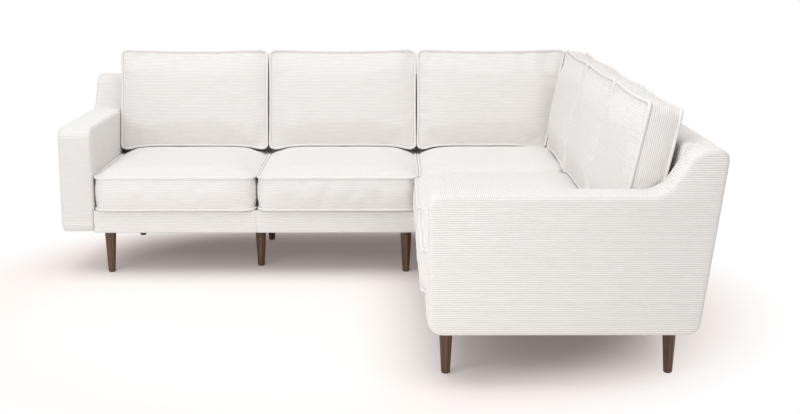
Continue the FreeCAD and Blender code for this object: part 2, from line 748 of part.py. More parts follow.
def corner_base():
    """Boards, blocks, springs and cloths of the corner's base, by name."""
    front = SEAM + BOARD
    spots = corner_leg_spots()
    rear_support = cross_board(front, REAR_RAIL, SPRING_RAIL, SPRING_RAIL + BOARD)
    side_support = cross_board(SPRING_RAIL, SPRING_RAIL + BOARD, front, SPRING_RAIL)
    boards = [
        cross_board(SEAM, REAR_RAIL_BACK, SEAM, front),
        cross_board(SEAM, REAR_RAIL_BACK, REAR_RAIL, REAR_RAIL_BACK),
        cross_board(SEAM, front, front, REAR_RAIL),
        cross_board(REAR_RAIL, REAR_RAIL_BACK, front, REAR_RAIL),
        rear_support,
        side_support,
    ]
    block_lines = (front, REAR_RAIL - LEG_BLOCK)
    blocks = [drilled(leg_block(x, y), spots) for x in block_lines for y in block_lines]
    plates = [connector(y, CUTOUT_CLEARANCE) for y in CONNECTOR_PLACES]
    plates += [mirrored(plate) for plate in plates]
    deck = back_face(FRAME_TOP) - CUTOUT_CLEARANCE
    cloth_end = REAR_RAIL_BACK - CUTOUT_CLEARANCE
    cloth = (SEAM, cloth_end, SEAM, cloth_end)
    places = spring_places(front, SPRING_RAIL)
    return {
        "rails": boards,
        "leg_blocks": blocks,
        "springs": [spring(x, front) for x in places],
        "deck_cloth": [block(SEAM, deck, SEAM, deck, FRAME_TOP, RAIL_TOP)],
        "dust_cover": [dust_cover(*cloth, spots, plates)],
        "legs": [leg(spot) for spot in spots],
    }


def corner_post():
    """Leaning post in the outer corner, where the two backs' rooms cross."""
    rear = PADDING / math.cos(REAR_LEAN)
    foot, head = rear_line(FRAME_TOP) - rear, rear_line(CAVITY_TOP) - rear
    strip = [
        (foot, FRAME_TOP, 0),
        (foot - CORNER_POST, FRAME_TOP, 0),
        (head - CORNER_POST, CAVITY_TOP, 0),
        (head, CAVITY_TOP, 0),
    ]
    leaning = slab(strip, SEAT_DEPTH, SECTION_DEPTH)
    return leaning.common(mirrored(leaning))


def outer_corner_room():
    """Everything in front of the two leaning rear faces, with their upright corner rounded."""
    wires = []
    for z in (LEG_HEIGHT, BACK_TOP):
        rear = rear_line(z)
        corners = [
            (-FAR, -FAR, 0),
            (rear, -FAR, 0),
            (rear, rear, OUTER_CORNER_RADIUS),
            (-FAR, rear, 0),
        ]
        wire = outline(corners, plan_view)
        wire.translate(Vector(0, 0, z))
        wires.append(wire)
    return Part.makeLoft(wires, True, True)


def corner_back():
    """Frame, webbing and cover of the corner's left back. The right one mirrors them."""
    post = corner_post()
    other_side = beyond_mitre(0)
    end_rib = SPRING_RAIL - RIB
    mitred = top_rail(SPRING_RAIL, SECTION_DEPTH).cut(other_side).cut(post)
    frame = ribs((SEAM, end_rib)) + [top_rail(SEAM + RIB, end_rib), mitred]
    cover = back_cover(SEAM, SECTION_DEPTH).cut(other_side).common(outer_corner_room())
    return frame, webbing(SEAM + RIB, end_rib), cover, post


def corner_section():
    """Every fixed piece of the corner, by name."""
    frame, bands, cover, post = corner_back()
    pieces = corner_base()
    pieces["back_frame"] = frame + [mirrored(piece) for piece in frame] + [post]
    pieces["back_webbing"] = bands + [mirrored(band) for band in bands]
    pieces["left_back_cover"] = [cover]
    pieces["right_back_cover"] = [mirrored(cover)]
    return pieces


def corner_fixings():
    front = SEAM + BOARD
    fixings = leg_fixings(corner_leg_spots())
    places = spring_places(front, SPRING_RAIL)
    fixings["spring_clips"] = [clip for x in places for clip in clips(x, front)]
    return fixings


def corner_cushions():
    """The corner's loose cushions. Its two back cushions meet at a mitre."""
    cover, core = seat_cover_and_core(SEAM, SEAT_REAR, False)
    swell_end = SEAT_DEPTH + BACK_CUSHION_HEIGHT * math.sin(LEAN) / 2
    left = back_cushion(SEAM, SECTION_DEPTH, swell_end)
    left = left.cut(beyond_mitre(2 * CUSHION_CLEARANCE))
    return {
        "seat_cover": [cover],
        "seat_core": [core],
        "left_back_cushion": [left],
        "right_back_cushion": [mirrored(left)],
    }


def main():
    os.makedirs("parts", exist_ok=True)
    left = {**wing(), **wing_cushions()}
    corner = {**corner_section(), **corner_cushions()}
    for name, pieces in left.items():
        shape = placed(Part.makeCompound(pieces))
        write(shape, "left_" + name)
        write(mirrored(shape), "right_" + name)
    for name, pieces in corner.items():
        write(placed(Part.makeCompound(pieces)), "corner_" + name)
    corner_parts = corner_fixings()
    for name, pieces in wing_fixings().items():
        both = pieces + [mirrored(piece) for piece in pieces] + corner_parts.get(name, [])
        write(placed(Part.makeCompound(both)), name)
    print(len(written), "nodes")


main()
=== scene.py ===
# %% [markdown]
# # A corner sofa in ribbed cloth
# The sofa is two two-seat wings with a corner seat between them. Its construction is already
# made, so it is loaded first as a fixed frame. What shows is then dressed piece by piece: arms,
# rails, backs, cushions with their piping, wood and steel. Lengths are metres, Z is up, and the
# origin is on the floor at the middle of the square that the sofa fills.

# %% Load the frame
import math

import bmesh
import bpy
import numpy as np
from mathutils import Matrix, Vector
from mathutils.kdtree import KDTree


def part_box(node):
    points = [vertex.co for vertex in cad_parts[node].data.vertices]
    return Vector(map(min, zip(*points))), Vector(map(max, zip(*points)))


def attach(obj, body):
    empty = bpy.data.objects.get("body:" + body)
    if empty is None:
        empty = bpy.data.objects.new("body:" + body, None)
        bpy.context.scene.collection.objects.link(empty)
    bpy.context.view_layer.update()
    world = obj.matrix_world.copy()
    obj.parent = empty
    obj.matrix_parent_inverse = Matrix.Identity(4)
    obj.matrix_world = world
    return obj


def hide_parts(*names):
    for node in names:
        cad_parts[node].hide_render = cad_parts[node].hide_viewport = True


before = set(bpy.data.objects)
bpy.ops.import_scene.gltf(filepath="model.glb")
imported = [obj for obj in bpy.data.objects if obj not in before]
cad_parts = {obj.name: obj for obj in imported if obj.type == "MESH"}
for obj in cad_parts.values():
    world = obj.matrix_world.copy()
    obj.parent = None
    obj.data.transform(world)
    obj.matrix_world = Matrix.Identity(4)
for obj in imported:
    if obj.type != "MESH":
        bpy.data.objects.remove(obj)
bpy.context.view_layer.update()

MM = 0.001

# %% [markdown]
# The left wing runs along X with its seats facing -Y. The right wing is the left one mirrored
# over the diagonal x = y, so most pieces are modelled once for the left wing and then mirrored.
# The lines that everything lines up with are read from the frame's own boxes.

# %% Lines of the left wing
rail_low, rail_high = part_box("left_rail_cover")
arm_low, arm_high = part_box("left_arm_cover")
FRONT = rail_low.y
BASE_FOOT = rail_low.z
BASE_TOP = rail_high.z
ARM_INNER = arm_high.x
ARM_OUTER = arm_low.x
BACK_TOP = arm_high.z
SECTION_SEAM = FRONT
SEAT_SEAM = (ARM_INNER + SECTION_SEAM) / 2
print("front", FRONT, "base", BASE_FOOT, BASE_TOP, "arm", ARM_OUTER, ARM_INNER, "seam", SEAT_SEAM)

# %% [markdown]
# Some sizes don't show in the boxes: the arm's top, where a seat's upper seam runs, and how far
# the backs lean. They could be measured on the meshes, but a maker works from a list of sizes,
# so they are written here once. Seat and back cushion meet on one line, and the upholstered back
# stands behind that line by a fixed distance.

# %% Sizes that the boxes don't show
ARM_TOP = 627 * MM
REAR_SLOPE = 0.13  # run over rise of the leaning rear face
REAR_ROUNDING = 4.8 * MM  # what the rounded top takes off the rear line
SEAT_EDGE = 422 * MM
SEAT_DEPTH = 593 * MM
LEAN = math.radians(12.1)
CUSHION_THICKNESS = 115 * MM
CUSHION_HEIGHT = 494 * MM
BACK_BEHIND = 135.5 * MM  # from the cushion's front to the back's face, across the lean
GAP = 0.5 * MM
NEAR = 0.1 * MM  # places closer than this count as one


def back_face(z):
    """Y of the upholstered back's front at height z."""
    return FRONT + SEAT_DEPTH + BACK_BEHIND / math.cos(LEAN) + (z - SEAT_EDGE) * math.tan(LEAN)


def rear_line(z):
    """Y of the leaning rear face at height z, as it runs before its corners are rounded."""
    return arm_high.y + REAR_ROUNDING - (BACK_TOP - z) * REAR_SLOPE


SEAT_REAR = back_face(BASE_TOP) - GAP
print("seats end at", round(SEAT_REAR, 4), "and the back's top at", round(back_face(BACK_TOP), 4))

# %% [markdown]
# Blender's operators act on whatever is selected, so each step starts from a clean selection,
# and faces or edges are picked by a test on their place.

# %% Selecting as by hand
def deselect():
    if bpy.context.object and bpy.context.object.mode != "OBJECT":
        bpy.ops.object.mode_set(mode="OBJECT")
    bpy.ops.object.select_all(action="DESELECT")


def take(piece):
    """Make one piece the only selected and active one."""
    deselect()
    piece.select_set(True)
    bpy.context.view_layer.objects.active = piece


def pick(piece, kind, test):
    """In edit mode, select the vertices, edges or faces that pass the test."""
    if piece.mode != "EDIT":
        take(piece)
        bpy.ops.object.mode_set(mode="EDIT")
    bpy.ops.mesh.select_mode(type=kind)
    bpy.ops.mesh.select_all(action="DESELECT")
    mesh = bmesh.from_edit_mesh(piece.data)
    parts = {"VERT": mesh.verts, "EDGE": mesh.edges, "FACE": mesh.faces}[kind]
    chosen = [part for part in parts if test(part)]
    for part in chosen:
        part.select_set(True)
    mesh.select_flush_mode()
    bmesh.update_edit_mesh(piece.data)
    return len(chosen)


def leave_edit():
    bpy.ops.object.mode_set(mode="OBJECT")


def mirrored(piece, name):
    """The same piece on the other side of the diagonal, with its own mesh."""
    take(piece)
    bpy.ops.object.duplicate()
    copy = bpy.context.object
    copy.name = name
    copy.data.name = name
    copy.data.transform(Matrix(((0, 1, 0, 0), (1, 0, 0, 0), (0, 0, 1, 0), (0, 0, 0, 1))))
    copy.data.flip_normals()
    return copy


def side_name(name):
    return name.replace("left", "right", 1)

# %% [markdown]
# ## Camera, floor and light
# The camera stands a little right of the middle, 1.4 m up and 5.3 m from the sofa's centre,
# and looks down by 11 degrees. A long lens keeps the seats' lines nearly level.

# %% Camera
CAMERA_PLACE = (0.188, -5.254, 1.400)
CAMERA_LENS = 60.36
CAMERA_DOWN = 11.278
CAMERA_YAW = -0.28
SENSOR_WIDTH = 36
bpy.ops.object.camera_add(
    location=CAMERA_PLACE,
    rotation=(math.radians(90 - CAMERA_DOWN), 0, math.radians(CAMERA_YAW)),
)
camera = bpy.context.object
camera.data.lens = CAMERA_LENS
camera.data.sensor_width = SENSOR_WIDTH
bpy.context.scene.camera = camera
bpy.context.scene.view_settings.view_transform = "Standard"
print("camera at", CAMERA_PLACE, "with a lens of", CAMERA_LENS, "mm")

# %% [markdown]
# Colours are written as sRGB hex values, the way a paint card or a web page gives them, and one
# function turns them into the linear values that the renderer works in. A second small function
# adds a node with its settings and its links, so that a material reads as a list of steps.

# %% Colour and node helpers
def linear(code):
    """Linear RGBA of an sRGB hex colour."""
    channels = [int(code[i : i + 2], 16) / 255 for i in (1, 3, 5)]
    return [c / 12.92 if c <= 0.04045 else ((c + 0.055) / 1.055) ** 2.4 for c in channels] + [1]


def add_node(tree, kind, links=None, **settings):
    """Add a node. Links map its inputs to other nodes' outputs or to plain values."""
    node = tree.nodes.new(kind)
    for name, value in settings.items():
        setattr(node, name, value)
    for socket, value in (links or {}).items():
        if isinstance(value, bpy.types.NodeSocket):
            tree.links.new(value, node.inputs[socket])
        else:
            node.inputs[socket].default_value = value
    return node


def new_material(name):
    """A material with an empty tree but for its output and its shader."""
    material = bpy.data.materials.new(name)
    material.use_nodes = True
    tree = material.node_tree
    shader = tree.nodes["Principled BSDF"]
    return material, tree, shader

# %% [markdown]
# A sofa like this is photographed on a white sweep of paper. A curved sheet could be modelled,
# but a flat floor that fades to white with the distance looks the same from every side. The fade
# is a glow that only the camera and glossy rays see, so it adds no light to the sofa, and near
# the sofa a small share of it, a little warm, stands for the light that cloth and floor exchange.

# %% Floor and backdrop
FLOOR_SIZE = 60.0
FADE_START = 1.1
FADE_END = 1.75
BOUNCE = 0.15


def seen_by_eye(tree):
    """1 for a ray from the camera or off a glossy surface, and 0 for any other."""
    path = add_node(tree, "ShaderNodeLightPath")
    direct, glossy = path.outputs["Is Camera Ray"], path.outputs["Is Glossy Ray"]
    return add_node(tree, "ShaderNodeMath", {0: direct, 1: glossy}, operation="MAXIMUM").outputs[0]


# paper: dead matt, so it shows the shadow and never a reflection
floor_material, tree, shader = new_material("matt_white_floor")
shader.inputs["Base Color"].default_value = linear("#FBF8F6")
shader.inputs["Roughness"].default_value = 1.0
shader.inputs["Specular IOR Level"].default_value = 0.0
place = add_node(tree, "ShaderNodeTexCoord")
distance = add_node(tree, "ShaderNodeVectorMath", {0: place.outputs["Object"]}, operation="LENGTH")
fade = add_node(
    tree,
    "ShaderNodeMapRange",
    {
        "Value": distance.outputs["Value"],
        "From Min": FADE_START,
        "From Max": FADE_END,
        "To Min": BOUNCE,
    },
    interpolation_type="SMOOTHSTEP",
)
share = add_node(
    tree, "ShaderNodeMath", {0: seen_by_eye(tree), 1: fade.outputs[0]}, operation="MULTIPLY"
)
glow = add_node(
    tree,
    "ShaderNodeMix",
    {0: fade.outputs[0], 6: linear("#FFE4D8"), 7: linear("#FFFFFF")},
    data_type="RGBA",
)
white = add_node(tree, "ShaderNodeEmission", {"Color": glow.outputs[2], "Strength": 1.0})
mix = add_node(
    tree,
    "ShaderNodeMixShader",
    {0: share.outputs[0], 1: shader.outputs[0], 2: white.outputs[0]},
)
tree.links.new(mix.outputs[0], tree.nodes["Material Output"].inputs["Surface"])

deselect()
bpy.ops.mesh.primitive_plane_add(size=FLOOR_SIZE, location=(0, 0, -1 * MM))
floor = bpy.context.object
floor.name = "floor"
floor.data.materials.append(floor_material)
print("the floor's shadow fades out between", FADE_START, "and", FADE_END, "m from the origin")

# %% [markdown]
# The light is that of a bright studio. The world fills every shadow evenly, a softbox above
# lights the seats, and one in front on the left gives the upright faces their form. A sun lamp
# would be quicker, but its hard shadow edge isn't there in a studio. To the camera the world is
# plain white, whatever level it lights the sofa at.

# %% World and lamps
WORLD_LIGHT = 0.55
world = bpy.data.worlds.new("studio")
bpy.context.scene.world = world
world.use_nodes = True
tree = world.node_tree
back = tree.nodes["Background"]
back.inputs["Color"].default_value = (1, 1, 1, 1)
level = add_node(
    tree,
    "ShaderNodeMapRange",
    {"Value": seen_by_eye(tree), "To Min": WORLD_LIGHT, "To Max": 1.0},
)
tree.links.new(level.outputs[0], back.inputs["Strength"])


def add_softbox(name, place, aim, size, power):
    """Rectangular area lamp of a size in metres and a power in watts, turned to its aim."""
    deselect()
    bpy.ops.object.light_add(type="AREA", location=place)
    lamp = bpy.context.object
    lamp.name = name
    lamp.data.shape = "RECTANGLE"
    lamp.data.size, lamp.data.size_y = size
    lamp.data.energy = power
    direction = Vector(aim) - Vector(place)
    lamp.rotation_euler = direction.to_track_quat("-Z", "Y").to_euler()
    print(name, power, "W")


add_softbox("top_softbox", (0.0, -0.6, 4.2), (0, 0, 0.3), (5.0, 5.0), 110)
add_softbox("front_softbox", (-2.2, -4.3, 2.2), (0, 0, 0.3), (3.5, 2.5), 84)

# %% [markdown]
# ## The cover cloth
# The sofa is covered in undyed wide-wale corduroy: cotton pile cut in rounded ribs, about 7 mm
# from rib to rib, with a shadow in each groove and a soft nap that never shines. The ribs are
# real geometry on what shows, and the material adds painted shade in the grooves, slubs and pile.
# Both read one UV map named cloth, which holds metres along the ribs and across them.

# %% Corduroy
WALE = 7.2 * MM
WALE_DEPTH = 1.1 * MM
ROWS = 4  # of faces that make up one rib
SLUB_LENGTH = 71.4 * MM  # of a thicker stretch in the yarn
PILE_TUFT = 1.11 * MM  # coarser than real pile, which is too fine to show
PILE_SHARE = 0.25
GROOVE_BUMP = 0.6 * MM


def corduroy(name, ridge_colour, groove_shade_colour):
    """Cut cotton pile: it scatters light, so it is matt with a faint bright nap at its edges."""
    material, tree, shader = new_material(name)
    cloth = add_node(tree, "ShaderNodeUVMap", uv_map="cloth")
    split = add_node(tree, "ShaderNodeSeparateXYZ", {0: cloth.outputs[0]})
    turns = add_node(
        tree, "ShaderNodeMath", {0: split.outputs["Y"], 1: math.pi / WALE}, operation="MULTIPLY"
    )
    wave = add_node(tree, "ShaderNodeMath", {0: turns.outputs[0]}, operation="SINE")
    rise = add_node(tree, "ShaderNodeMath", {0: wave.outputs[0]}, operation="ABSOLUTE")
    ridge = add_node(tree, "ShaderNodeMath", {0: rise.outputs[0], 1: 0.6}, operation="POWER")
    slub_place = add_node(
        tree,
        "ShaderNodeMapping",
        {"Vector": cloth.outputs[0], "Scale": (1 / SLUB_LENGTH, 1 / WALE, 1)},
    )
    slubs = add_node(
        tree, "ShaderNodeTexNoise", {"Vector": slub_place.outputs[0], "Scale": 1.0, "Detail": 3.0}
    )
    uneven = add_node(
        tree,
        "ShaderNodeMapRange",
        {"Value": slubs.outputs["Fac"], "From Min": 0.3, "From Max": 0.7, "To Min": 0.75},
    )
    shade = add_node(
        tree, "ShaderNodeMath", {0: ridge.outputs[0], 1: uneven.outputs[0]}, operation="MULTIPLY"
    )
    # painted shade: the grooves take the darker colour, for the shade that the pile casts into them
    colour = add_node(
        tree,
        "ShaderNodeMix",
        {0: shade.outputs[0], 6: linear(groove_shade_colour), 7: linear(ridge_colour)},
        data_type="RGBA",
    )
    place = add_node(tree, "ShaderNodeTexCoord")
    pile = add_node(
        tree,
        "ShaderNodeTexNoise",
        {"Vector": place.outputs["Object"], "Scale": 1 / PILE_TUFT, "Detail": 2.0},
    )
    height = add_node(
        tree,
        "ShaderNodeMath",
        {0: pile.outputs["Fac"], 1: PILE_SHARE, 2: ridge.outputs[0]},
        operation="MULTIPLY_ADD",
    )
    bump = add_node(tree, "ShaderNodeBump", {"Height": height.outputs[0], "Distance": GROOVE_BUMP})
    tree.links.new(colour.outputs[2], shader.inputs["Base Color"])
    tree.links.new(bump.outputs[0], shader.inputs["Normal"])
    shader.inputs["Roughness"].default_value = 0.95
    shader.inputs["Specular IOR Level"].default_value = 0.15
    shader.inputs["Sheen Weight"].default_value = 0.15
    shader.inputs["Sheen Roughness"].default_value = 0.6
    return material


# the second colour of each cloth is painted shade for its grooves, lighter on the piping
cover_cloth = corduroy("undyed_cotton_corduroy", "#EEEBE9", "#CFCBC7")
piping_cloth = corduroy("bias_cut_cotton_piping", "#EEEBE9", "#DEDAD7")
print("ribs", WALE / MM, "mm apart and", WALE_DEPTH / MM, "mm high")

# %% [markdown]
# The ribs could be a bump in the material alone, but then an edge of the sofa would be smooth.
# So each piece first gets its cloth map, and its mesh, which has four rows of faces to a rib, is
# then pushed out along its normals by the rib's round profile.

# %% Laying the cloth on a piece
def lay_cloth(piece, rule, material=cover_cloth):
    """Write the cloth map: the rule gives (along, across) for a corner of a face."""
    if piece.mode == "EDIT":
        leave_edit()
    mesh = piece.data
    layer = mesh.uv_layers.get("cloth") or mesh.uv_layers.new(name="cloth")
    for face in mesh.polygons:
        for loop in face.loop_indices:
            vertex = mesh.vertices[mesh.loops[loop].vertex_index]
            layer.data[loop].uv = rule(face, vertex)
    mesh.materials.clear()
    mesh.materials.append(material)


def raise_wales(piece, depth=WALE_DEPTH):
    """Push the mesh out along its ribs. Corners where two panels meet stay where they are."""
    mesh = piece.data
    count = len(mesh.vertices)
    corner_vertex = np.empty(len(mesh.loops), np.int32)
    mesh.loops.foreach_get("vertex_index", corner_vertex)
    uv = np.empty(len(mesh.loops) * 2, np.float32)
    mesh.uv_layers["cloth"].data.foreach_get("uv", uv)
    across = uv.reshape(-1, 2)[:, 1].astype(float)
    highest = np.full(count, -1e9)
    lowest = np.full(count, 1e9)
    np.maximum.at(highest, corner_vertex, across)
    np.minimum.at(lowest, corner_vertex, across)
    inside = (highest - lowest) < NEAR
    normals = np.empty(count * 3, np.float32)
    mesh.vertices.foreach_get("normal", normals)
    places = np.empty(count * 3, np.float32)
    mesh.vertices.foreach_get("co", places)
    rise = np.sqrt(np.abs(np.sin(math.pi * highest / WALE))) * depth * inside
    places = places.reshape(-1, 3) + normals.reshape(-1, 3) * rise[:, None]
    mesh.vertices.foreach_set("co", places.astype(np.float32).ravel())
    mesh.update()

# %% [markdown]
# ## Outlines with rounded corners
# Arms and backs are flat shapes given a thickness. Such a shape starts as a filled circle with
# one vertex for each corner. Each vertex is moved to its corner and bevelled by its radius, and
# the straight runs are then cut so that the ribs, four rows each, run round the whole outline.

# %% Outline tool
def outline_piece(name, corners):
    """Flat face at x = 0 through (y, z, radius) corners, cut in rows of a quarter rib."""
    deselect()
    bpy.ops.mesh.primitive_circle_add(vertices=len(corners), radius=1, fill_type="NGON")
    piece = bpy.context.object
    piece.name = piece.data.name = name
    for vertex, (y, z, radius) in zip(piece.data.vertices, corners):
        vertex.co = (0, y, z)
    points = [Vector((0, y, z)) for y, z, radius in corners]
    for i, (here, corner) in enumerate(zip(points, corners)):
        if not corner[2]:
            continue
        back = (points[i - 1] - here).normalized()
        ahead = (points[(i + 1) % len(points)] - here).normalized()
        turn = math.pi - back.angle(ahead)
        ribs = max(1, round(corner[2] * turn / WALE))
        pick(piece, "VERT", lambda v: (v.co - here).length < NEAR)
        bpy.ops.mesh.bevel(
            offset=corner[2] * math.tan(turn / 2), segments=ROWS * ribs, affect="VERTICES"
        )
    rows = WALE / ROWS
    while pick_longest_edge(piece, 1.5 * rows):
        edge = [e for e in bmesh.from_edit_mesh(piece.data).edges if e.select][0]
        ribs = max(1, round(edge.calc_length() / WALE))
        bpy.ops.mesh.subdivide(number_cuts=ROWS * ribs - 1)
    return piece


def pick_longest_edge(piece, least):
    """Select the longest edge of the outline, if it is longer than the least."""
    if piece.mode != "EDIT":
        take(piece)
        bpy.ops.object.mode_set(mode="EDIT")
    edges = bmesh.from_edit_mesh(piece.data).edges
    longest = max(edge.calc_length() for edge in edges)
    if longest < least:
        return False
    place = max(edges, key=lambda e: e.calc_length()).index
    return pick(piece, "EDGE", lambda e: e.index == place) == 1


def extrude_along_x(piece, start, length):
    """Give a flat outline its thickness, from x = start."""
    bpy.ops.mesh.select_all(action="SELECT")
    bpy.ops.transform.translate(value=(start, 0, 0))
    bpy.ops.mesh.extrude_region_move(TRANSFORM_OT_translate={"value": (length, 0, 0)})
    bpy.ops.mesh.select_all(action="SELECT")
    bpy.ops.mesh.normals_make_consistent(inside=False)


def cut_across(piece, points, normal, test):
    """Bisect the faces that pass the test with a plane through each point."""
    for point in points:
        pick(piece, "FACE", test)
        bpy.ops.mesh.bisect(plane_co=point, plane_no=normal)


def steps(start, end, pitch):
    """Evenly spaced places between start and end, without the ends."""
    count = max(1, round((end - start) / pitch))
    return [start + (end - start) * i / count for i in range(1, count)]

# %% [markdown]
# ## Arms
# An arm is a plywood box with padding and cloth: two flat side panels with ribs that run level,
# and one long band round the edge with ribs across it. A seam joins them just inside the rounded
# edge, so there the panel is inset and stands a little proud.

# %% Arms
ARM_EDGE = 11 * MM
SEAM_LIP = 5 * MM
SEAM_DEPTH = 1.2 * MM
COVER_SKIN = 2.4 * MM
SWEEP_ANGLE = math.radians(57)
TOP_RUN = 102.3 * MM  # of the high part behind the sweep
SWEEP_END = rear_line(BACK_TOP) - TOP_RUN
SWEEP_START = SWEEP_END - (BACK_TOP - ARM_TOP) / math.tan(SWEEP_ANGLE)

# each corner's place along y, its height and its radius
arm_corners = [
    (rear_line(BASE_FOOT), BASE_FOOT, 40 * MM),
    (FRONT, BASE_FOOT, 48 * MM),
    (FRONT, ARM_TOP, 40 * MM),
    (SWEEP_START, ARM_TOP, 95 * MM),
    (SWEEP_END, BACK_TOP, 86 * MM),
    (rear_line(BACK_TOP), BACK_TOP, 35 * MM),
]


def outline_rows(piece):
    """Tree of the outline's points, to find the row nearest to a place."""
    mesh = bmesh.from_edit_mesh(piece.data)
    mesh.faces.ensure_lookup_table()
    loops = list(mesh.faces[0].loops)
    tree = KDTree(len(loops))
    for i, loop in enumerate(loops):
        tree.insert(Vector((0, loop.vert.co.y, loop.vert.co.z)), i)
    tree.balance()
    return tree, len(loops)


def run_of(tree, count, face, vertex):
    """Row number of a vertex, counted on past the start where a face crosses it."""
    here = tree.find(Vector((0, vertex.co.y, vertex.co.z)))[1]
    middle = tree.find(Vector((0, face.center.y, face.center.z)))[1]
    if here - middle > count / 2:
        here -= count
    if middle - here > count / 2:
        here += count
    return here


left_arm = outline_piece("left_arm_cover_cloth", arm_corners)
arm_rows, arm_row_count = outline_rows(left_arm)
outer_x = ARM_OUTER + COVER_SKIN
inner_x = ARM_INNER - COVER_SKIN
extrude_along_x(left_arm, outer_x, inner_x - outer_x)
pick(left_arm, "EDGE", lambda e: abs(e.verts[0].co.x - e.verts[1].co.x) < NEAR)
bpy.ops.mesh.bevel(offset=ARM_EDGE, segments=3, affect="EDGES")
pick(left_arm, "FACE", lambda f: len(f.verts) > 8)
bpy.ops.mesh.inset(thickness=SEAM_LIP, depth=SEAM_DEPTH)
print("arm", round((inner_x - outer_x) / MM), "mm thick, with", arm_row_count, "rows round it")

# %% [markdown]
# On the panels the ribs run level, so the two big faces are cut by level planes, four to a rib.
# The cloth map then takes its heights from the panel and, on the band, from the row's number.

# %% The arms' cloth
SMALLEST_PANEL = 2e-4  # square metres


def on_panel(face):
    return abs(face.normal.x) > 0.999 and face.calc_area() > SMALLEST_PANEL


level_count = int((BACK_TOP - BASE_FOOT) / WALE * ROWS)
levels = [BASE_FOOT + WALE * k / ROWS for k in range(1, level_count)]
cut_across(left_arm, [(0, 0, z) for z in levels], (0, 0, 1), on_panel)
leave_edit()


def arm_rule(face, vertex):
    if abs(face.normal.x) > 0.95:
        return vertex.co.y, vertex.co.z - BASE_FOOT
    return vertex.co.x, run_of(arm_rows, arm_row_count, face, vertex) * WALE / ROWS


lay_cloth(left_arm, arm_rule)
bpy.ops.object.shade_smooth_by_angle(angle=math.radians(35))
right_arm = mirrored(left_arm, "right_arm_cover_cloth")
print("each arm has", len(left_arm.data.vertices), "vertices")

# %% [markdown]
# ## Rails
# Below the seats a board runs from arm to corner, wrapped in padding and cloth. The cloth laps
# round its foot and is stapled below. Its section is the same all along, so the outline of the
# section is carried along x. A shallow dent under the seam of the two seats is where the maker
# joins two widths of cloth.

# %% Rails
RAIL_SKIN = 1.5 * MM
RAIL_ROUND = 9 * MM
RAIL_PADDING = 12 * MM
RAIL_LAP = 36 * MM
UNDER = 3 * MM
DENT = 2.2 * MM
COLUMN = 60 * MM
SMOOTH_BELOW = math.radians(50)
rail_corners = [
    (FRONT + RAIL_LAP, BASE_FOOT, 0),
    (FRONT + RAIL_SKIN, BASE_FOOT, RAIL_ROUND),
    (FRONT + RAIL_SKIN, BASE_TOP, RAIL_ROUND),
    (FRONT + RAIL_PADDING, BASE_TOP, 0),
    (FRONT + RAIL_PADDING, BASE_FOOT + UNDER, 0),
    (FRONT + RAIL_LAP, BASE_FOOT + UNDER, 0),
]


def profile_piece(name, corners, start, end, columns, round_end=0):
    """An outline carried along x, with the ribs running along it. Its start may be rounded."""
    piece = outline_piece(name, corners)
    tree, count = outline_rows(piece)
    extrude_along_x(piece, start, end - start)
    if round_end:
        pick(piece, "EDGE", lambda e: max(v.co.x for v in e.verts) < start + NEAR)
        bpy.ops.mesh.bevel(offset=round_end, segments=4, affect="EDGES")
    cut_across(piece, [(x, 0, 0) for x in columns], (1, 0, 0), lambda f: True)
    leave_edit()

    def rule(face, vertex):
        if abs(face.normal.x) > 0.7:
            return vertex.co.y, vertex.co.z
        return vertex.co.x, run_of(tree, count, face, vertex) * WALE / ROWS

    lay_cloth(piece, rule)
    print(name, len(piece.data.vertices), "vertices")
    return piece


rail_columns = steps(rail_low.x, rail_high.x, COLUMN)
rail_columns += [SEAT_SEAM + offset * MM for offset in (-9, -2, 0, 2, 9)]
rail_end = SECTION_SEAM + RAIL_SKIN - GAP
left_rail = profile_piece(
    "left_rail_cover_cloth", rail_corners, rail_low.x, rail_end, rail_columns
)
pick(
    left_rail,
    "VERT",
    lambda v: abs(v.co.x - SEAT_SEAM) < 1 * MM and v.co.y < FRONT + RAIL_ROUND,
)
bpy.ops.transform.translate(value=(0, DENT, 0))
leave_edit()
bpy.ops.object.shade_smooth_by_angle(angle=SMOOTH_BELOW)
right_rail = mirrored(left_rail, "right_rail_cover_cloth")

# %% [markdown]
# ## Backs
# A back is a padded frame that leans behind the loose cushions. One cloth goes up its front,
# over its rounded top and down its rear to the foot of the base, where only the rear wall is
# left. It is one section carried along x again, and at the arm its end is tucked in and rounded.

# %% Backs
DECK = BASE_TOP - 6 * MM
BACK_TUCK = 14 * MM
REAR_WALL = 12 * MM
FOOT_ROUND = 8 * MM
TOP_FRONT_ROUND = 20 * MM
TOP_REAR_ROUND = 35 * MM
BACK_COLUMN = 100 * MM
back_corners = [
    (rear_line(BASE_FOOT), BASE_FOOT, FOOT_ROUND),
    (rear_line(BASE_FOOT) - REAR_WALL, BASE_FOOT, 0),
    (rear_line(DECK) - REAR_WALL, DECK, 0),
    (back_face(DECK), DECK, 0),
    (back_face(BACK_TOP), BACK_TOP, TOP_FRONT_ROUND),
    (rear_line(BACK_TOP), BACK_TOP, TOP_REAR_ROUND),
]
left_back = profile_piece(
    "left_back_cover_cloth",
    back_corners,
    ARM_INNER - BACK_TUCK,
    SECTION_SEAM - GAP,
    steps(ARM_INNER, SECTION_SEAM, BACK_COLUMN),
    BACK_TUCK,
)
bpy.ops.object.shade_smooth_by_angle(angle=SMOOTH_BELOW)
right_back = mirrored(left_back, "right_back_cover_cloth")

# %% [markdown]
# The corner's two backs meet on the diagonal, where their covers are sewn together. Each is the
# same section, carried past the corner and cut off by the diagonal plane, as a mitre is sawn.
# The upright outer corner is then rounded: points beyond its centre turn on to an arc.

